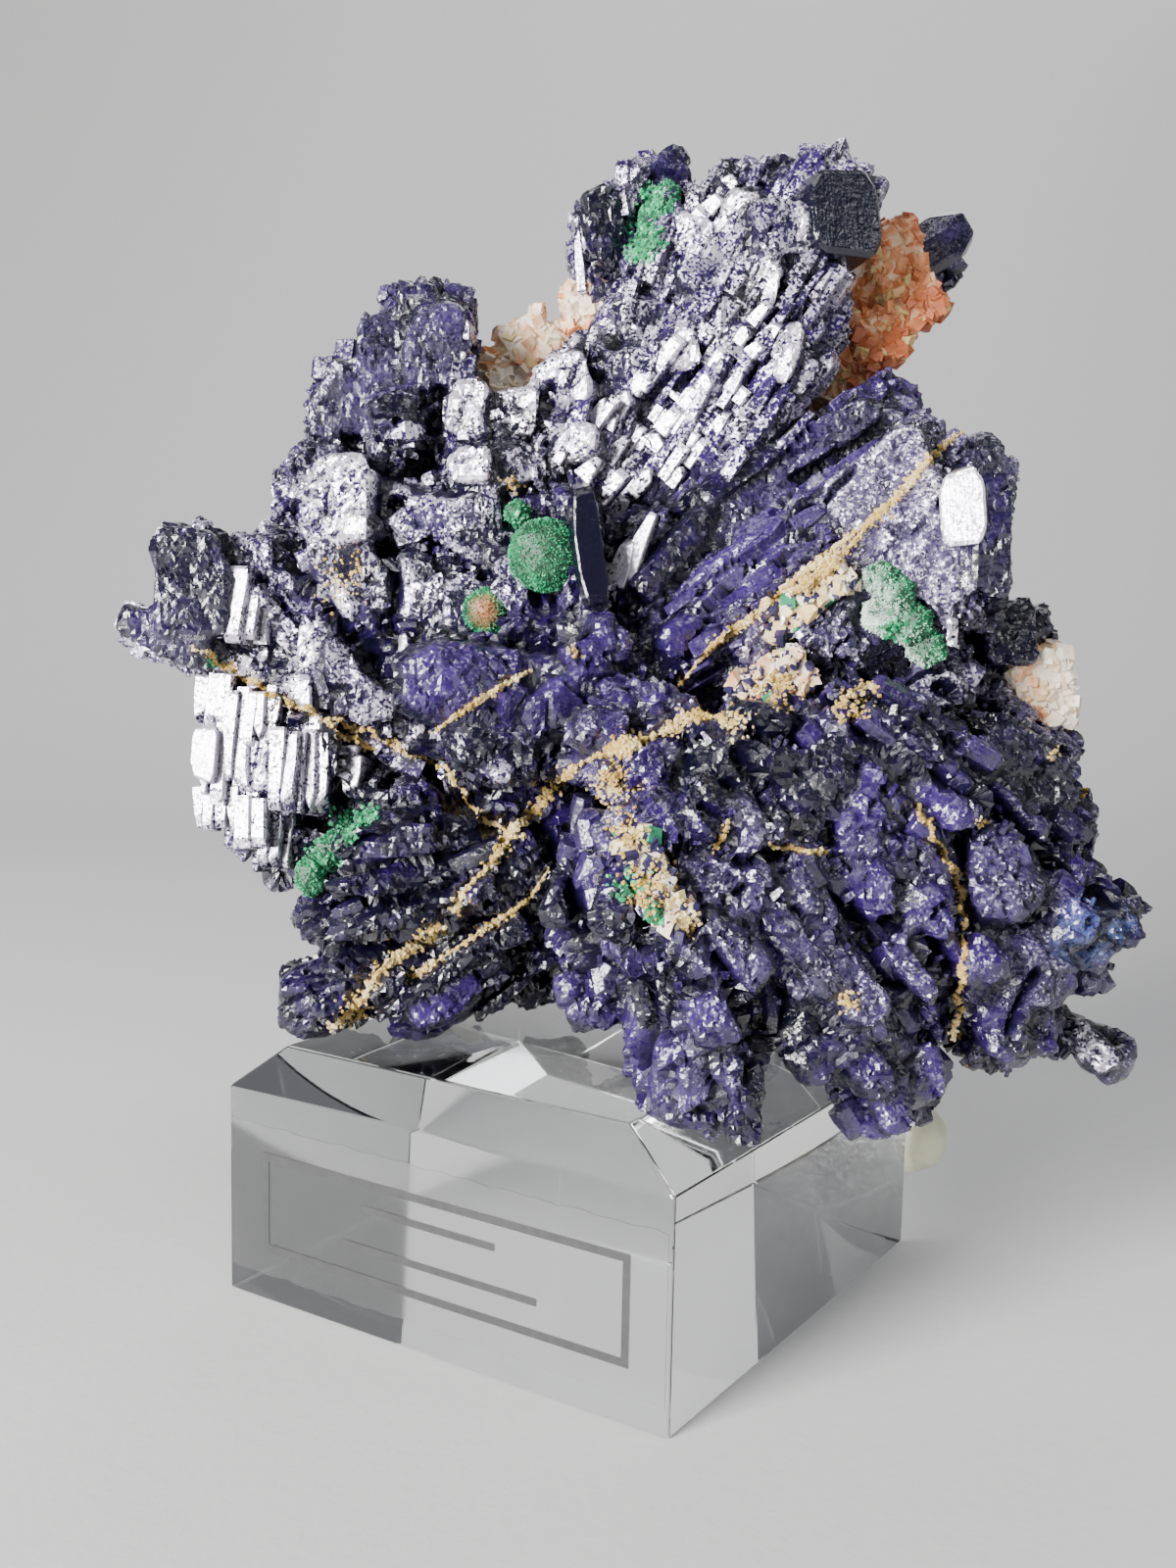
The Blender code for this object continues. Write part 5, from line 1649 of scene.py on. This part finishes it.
class SPECIMEN_OT_azurite(bpy.types.Operator):
    """Grow ledge crystals and druse over the azurite, group by group"""

    bl_idname = "specimen.azurite"
    bl_label = "Azurite crystals"

    # Candidate places for each square millimetre, the room they need in front and the distance they keep
    # from other pieces, and the grid of the relief skins, in millimetres
    CANDIDATES = 5.0
    ROOM = 2.5
    DISTANCE = 0.75
    PITCH = 0.47

    def execute(self, context):
        sizes = context.scene.specimen_sizes
        rng = np.random.default_rng(20)
        ground = Ground()
        places, normals = scatter(ground.points, ground.triangles, self.CANDIDATES, rng)
        keep = ground.open_places(places, normals, self.ROOM, self.DISTANCE)
        places, normals = places[keep], normals[keep]
        owner = nearest_parent(places)
        _, axes, _, _, groups = parent_table()
        seeds = {"lath": lath_seeds(), "scale": scale_seeds(), "block": block_seeds(), "tile": tile_seeds(),
                 "grain": grain_seeds()}
        origin, way = sight_line(*TEAL_POINT)
        teal_spot = ground.tree.ray_cast(Vector(origin), Vector(way))[0]
        skin = azurite_skin(tuple(to_block_frame(np.array(teal_spot))))
        crystals = lay_crystals(ground.tree, rng)
        grown_in = [item for item in crystals if item.kind not in CLEAN_KINDS]
        rough = rough_surface(self.PITCH, grown_in, seeds, ground, rng)
        for kind in CLEAN_KINDS:
            stand_crystals(kind, [item for item in crystals if item.kind == kind], seeds, skin, rng)
        for number, name in enumerate(GROUPS):
            mine = groups[owner] == number
            part = (places[mine], normals[mine], axes[owner[mine]], self.CANDIDATES)
            grow_group(name, HABITS[name], part, seeds, sizes, ground, skin, rng)
            raise_skin(name, number, rough, skin)
        return {"FINISHED"}


class SPECIMEN_OT_matrix(bpy.types.Operator):
    """Cover the matrix pieces with a crust of rhombs"""

    bl_idname = "specimen.matrix"
    bl_label = "Matrix crust"

    # How warm each piece is, and its shares of yellow and of blue grains
    PIECES = {"matrix_slab": (0.50, 0.12, 0.0), "matrix_lump_right": (-0.55, 0.12, 0.0),
              "matrix_chip_centre": (-0.10, 0.35, 0.36), "matrix_seam_upper": (-0.20, 0.75, 0.40),
              "matrix_crust_lower": (-0.40, 0.55, 0.56)}

    def execute(self, context):
        side = context.scene.specimen_sizes.rhomb_size / MM
        rng = np.random.default_rng(31)
        seeds = rhomb_seeds()
        for name, shares in self.PIECES.items():
            points, triangles = node_surface(name)
            places, normals = scatter(points, triangles, 2.3 / side ** 2, rng)
            count = len(places)
            axes = frames_from(rng.normal(0, 1, (count, 3)), normals + rng.normal(0, 0.6, (count, 3)))
            size = side * rng.uniform(0.55, 1.5, (count, 1)) * rng.uniform(0.85, 1.15, (count, 3))
            base = places - normals * (size[:, 2:3] * rng.uniform(0.0, 0.55, (count, 1)))
            skin = matrix_skin(f"{name}_crust", *shares)
            spread_copies(f"{name}_rhombs", seeds, axes, size, base, rng, skin)
            dress(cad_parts[name], skin)
        return {"FINISHED"}


class SPECIMEN_OT_malachite(bpy.types.Operator):
    """Cover the malachite lumps with velvety needles"""

    bl_idname = "specimen.malachite"
    bl_label = "Malachite"

    PIECES = ("malachite_rosette", "malachite_button", "malachite_right", "malachite_left",
              "malachite_top", "malachite_ring")
    # Needles for each square millimetre, the thickness of one and the sizes of loose grains in millimetres
    COVER = 26.0
    THICK = 0.21
    GRAIN = (0.18, 0.42)
    # In specimen millimetres: where the right lump's whitish side begins and the way to it, and how far
    # before the ring's middle its ochre core lies
    PALE_START = (27.6, -15.0, 67.8)
    PALE_WAY = (-0.85, 0.0, -0.53)
    CORE_SHIFT = (0.0, -1.4, 0.0)

    def execute(self, context):
        length = context.scene.specimen_sizes.needle_length / MM
        rng = np.random.default_rng(47)
        seeds = needle_seeds()
        for name in self.PIECES:
            points, triangles = node_surface(name)
            places, normals = scatter(points, triangles, self.COVER, rng)
            count = len(places)
            axes = frames_from(rng.normal(0, 1, (count, 3)), normals + rng.normal(0, 0.38, (count, 3)))
            thick = np.full(count, self.THICK)
            size = np.stack([thick, thick, length * rng.uniform(0.6, 1.5, count)], axis=1)
            skin = malachite_skin(f"{name}_velvet", self.core(name), self.pale_side(name))
            base = places - normals * 0.05
            spread_copies(f"{name}_needles", seeds, axes, size, base, rng, skin)
            dress(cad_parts[name], skin)
        spots = [spot for row in GREENS for spot in patch(*row, rng)]
        strew_crumbs("malachite_grains", spots, self.GRAIN, context.evaluated_depsgraph_get(),
                     malachite_skin("malachite_grain_velvet"), rng)
        return {"FINISHED"}

    def pale_side(self, name):
        """The direction towards the whitish side of the right lump, and where that side begins."""
        if name != "malachite_right":
            return None
        way = to_block_frame(np.array(self.PALE_WAY)) / MM
        return tuple(way), -float(to_block_frame(np.array(self.PALE_START)) @ way)

    def core(self, name):
        """The middle of the ring's front, where its ochre core is."""
        if name != "malachite_ring":
            return None
        low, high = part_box(name)
        front = to_block_frame(np.array(self.CORE_SHIFT))
        return tuple((low + high) / 2 + Vector(front))


class SPECIMEN_OT_seams(bpy.types.Operator):
    """Lay the ochre seams and patches over the crystals"""

    bl_idname = "specimen.seams"
    bl_label = "Ochre seams"

    # Crumbs: spacing along a seam in picture units, and sizes in millimetres
    STEP = 1.3
    GRAIN = (0.12, 0.34)
    # The band under them: spacing of its cross sections and length of its tapered ends in picture units,
    # its columns as shares of the half width, and the longest side of a face in millimetres
    STATION = 1.8
    TAPER = 14.0
    ACROSS = (-1.0, -0.72, -0.36, 0.0, 0.36, 0.72, 1.0)
    LONGEST = 0.7

    def execute(self, context):
        rng = np.random.default_rng(53)
        graph = context.evaluated_depsgraph_get()
        skin = seam_skin()
        self.crust(graph, skin, rng)
        spots = []
        for points, width in SEAMS.values():
            spots += self.seam(points, width, rng)
        for centre, reach, count in SPECKS:
            spots += patch(centre, reach, count, rng)
        strew_crumbs("ochre_crumbs", spots, self.GRAIN, graph, skin, rng)
        return {"FINISHED"}

    def swell(self, x, y):
        """How wide a seam is at a spot, against its own width."""
        return (0.60 + 0.30 * math.sin(x * 0.11 + y * 0.05) + 0.30 * math.sin(y * 0.23 + x * 0.19 + 1.0)
                + 0.25 * math.sin(x * 0.53 - y * 0.41))

    def wave(self, x, y):
        """How far a seam strays sideways at a spot, in picture units."""
        return 2.2 * math.sin(x * 0.13 + y * 0.21)

    def legs(self, points):
        """The straight legs of a seam: where each starts, its reach, its length and the way across it."""
        for (x0, y0), (x1, y1) in zip(points, points[1:]):
            run = math.dist((x0, y0), (x1, y1))
            yield (x0, y0), (x1 - x0, y1 - y0), run, ((y0 - y1) / run, (x1 - x0) / run)

    def stations(self, points):
        """Spots along a seam with the direction across it and its taper at the ends."""
        legs = list(self.legs(points))
        total, done, made = sum(run for _, _, run, _ in legs), 0.0, []
        for (x, y), (dx, dy), run, across in legs:
            for index in range(max(1, int(run / self.STATION))):
                share = index * self.STATION / run
                at = done + share * run
                taper = min(1.0, at / self.TAPER + 0.1, (total - at) / self.TAPER + 0.1)
                made.append((x + dx * share, y + dy * share, across, taper))
            done += run
        return made

    def section(self, station, width, graph, rng):
        """One cross section of a seam's band, or nothing where a part of it misses the specimen."""
        x, y, across, taper = station
        half = width * taper * max(0.16, self.swell(x, y)) * UNITS_PER_MM * 0.46
        rim = half * (1.0 + rng.normal(0, 0.22, 2))
        row = []
        for share in self.ACROSS:
            off = share * rim[int(share > 0)] + self.wave(x, y)
            seen = seen_at(x + across[0] * off, y + across[1] * off, graph)
            if seen is None:
                return []
            height = -0.14 if abs(share) == 1.0 else 0.05 + min(0.22, half * 0.02) * rng.uniform(0.4, 1.6)
            row.append(to_specimen(np.array(seen[0])) + to_specimen(np.array(seen[1])) * MM * height)
        return row

    def crust(self, graph, skin, rng):
        """A thin uneven band along every seam, closed underneath where it is whole."""
        points, tones, loops = [], [], []
        columns = len(self.ACROSS)
        for line, width in SEAMS.values():
            rows = []
            for station in self.stations(line):
                row = self.section(station, width, graph, rng)
                rows.append(len(points) if row else None)
                points += row
                if row:
                    tones += [rng.random(3)] * columns
            for first, second in zip(rows, rows[1:]):
                if first is None or second is None:
                    continue
                band = []
                for column in range(columns - 1):
                    corners = (first + column, first + column + 1, second + column + 1, second + column)
                    sides = [np.linalg.norm(points[corners[i]] - points[corners[i - 1]]) for i in range(4)]
                    if max(sides) < self.LONGEST:
                        band += corners
                if len(band) == 4 * (columns - 1):
                    band += (first + columns - 1, first, second, second + columns - 1)
                loops += band
        points = np.array(points)
        raise_mesh("ochre_seams", points, np.array(loops), np.arange(len(loops) // 4) * 4, np.array(tones),
                   points, skin)

    def seam(self, points, width, rng):
        """Sight points scattered along a seam whose width swells and pinches."""
        spots = []
        for (x0, y0), (dx, dy), run, across in self.legs(points):
            for _ in range(int(run * max(1.0, width * 1.6) / self.STEP)):
                share = rng.random()
                x, y = x0 + dx * share, y0 + dy * share
                swell = self.swell(x, y)
                if swell < 0.25 and rng.random() < 0.8:
                    continue
                off = rng.normal(0, 0.30) * width * swell * UNITS_PER_MM + self.wave(x, y)
                spots.append((x + across[0] * off, y + across[1] * off))
        return spots


class SPECIMEN_OT_putty(bpy.types.Operator):
    """Model the putty ball and the pad under the specimen"""

    bl_idname = "specimen.putty"
    bl_label = "Mounting putty"

    def execute(self, context):
        skin = self.skin()
        self.lump("putty_ball", "mounting_putty", skin, 0.07)
        self.lump("putty_cushion", "putty_pad", skin, 0.05)
        return {"FINISHED"}

    def lump(self, name, node, skin, uneven):
        """A thumbed lump that fills its node's box."""
        low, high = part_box(node)
        start()
        bpy.ops.mesh.primitive_uv_sphere_add(segments=32, ring_count=20, radius=0.5, location=(0, 0, 0))
        piece = bpy.context.object
        piece.name = name
        centre, span = (low + high) / 2, high - low
        for vert in piece.data.vertices:
            way = vert.co.normalized()
            wave = math.sin(5 * way.x + 2) * math.sin(4 * way.y) + 0.6 * math.sin(7 * way.z + 3 * way.x)
            swell = 1.0 - uneven * (0.5 + 0.5 * wave)
            vert.co = centre + Vector((vert.co.x * span.x, vert.co.y * span.y, vert.co.z * span.z)) * swell
        piece.data.shade_smooth()
        settle(piece, skin)
        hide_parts(node)

    def skin(self):
        """Slightly translucent pale putty with faint thumb marks."""
        sheet = Sheet("putty")
        place = sheet.place()
        mark = sheet.noise(place, 1.2 * MM, 4.0)
        colour = bpy.context.scene.specimen_colours.putty
        shade = sheet.mix(mark, tuple(0.86 * part for part in colour), colour)
        return sheet.set(Base_Color=shade, Roughness=0.30 + 0.2 * mark,
                         Normal=sheet.bump(mark, 0.12 * MM, 0.6), Subsurface_Weight=0.25,
                         Subsurface_Radius=(2.2 * MM, 2.0 * MM, 1.2 * MM), Subsurface_Scale=1.0)


class SPECIMEN_PT_panel(bpy.types.Panel):
    """Lists the specimen's operators and sizes"""

    bl_label = "Azurite specimen"
    bl_idname = "SPECIMEN_PT_panel"
    bl_space_type = "VIEW_3D"
    bl_region_type = "UI"
    bl_category = "Specimen"

    def draw(self, context):
        for step in STEPS:
            self.layout.operator(step.bl_idname)
        for group in (context.scene.specimen_sizes, context.scene.specimen_colours):
            for name in group.__annotations__:
                self.layout.prop(group, name)


STEPS = (SPECIMEN_OT_stage, SPECIMEN_OT_block, SPECIMEN_OT_label, SPECIMEN_OT_azurite,
         SPECIMEN_OT_matrix, SPECIMEN_OT_malachite, SPECIMEN_OT_seams, SPECIMEN_OT_putty)
CLASSES = (SpecimenSizes, SpecimenColours, *STEPS, SPECIMEN_PT_panel)


def register():
    """Register the classes and the scene's settings."""
    for item in CLASSES:
        bpy.utils.register_class(item)
    bpy.types.Scene.specimen_sizes = bpy.props.PointerProperty(type=SpecimenSizes)
    bpy.types.Scene.specimen_colours = bpy.props.PointerProperty(type=SpecimenColours)


def unregister():
    """Take the classes and settings out again."""
    del bpy.types.Scene.specimen_colours
    del bpy.types.Scene.specimen_sizes
    for item in reversed(CLASSES):
        bpy.utils.unregister_class(item)


def main():
    """Dress the specimen."""
    register()
    bpy.ops.specimen.stage()
    bpy.ops.specimen.block()
    bpy.ops.specimen.label()
    bpy.ops.specimen.azurite()
    bpy.ops.specimen.matrix()
    bpy.ops.specimen.malachite()
    bpy.ops.specimen.seams()
    bpy.ops.specimen.putty()


if __name__ == "__main__":
    main()
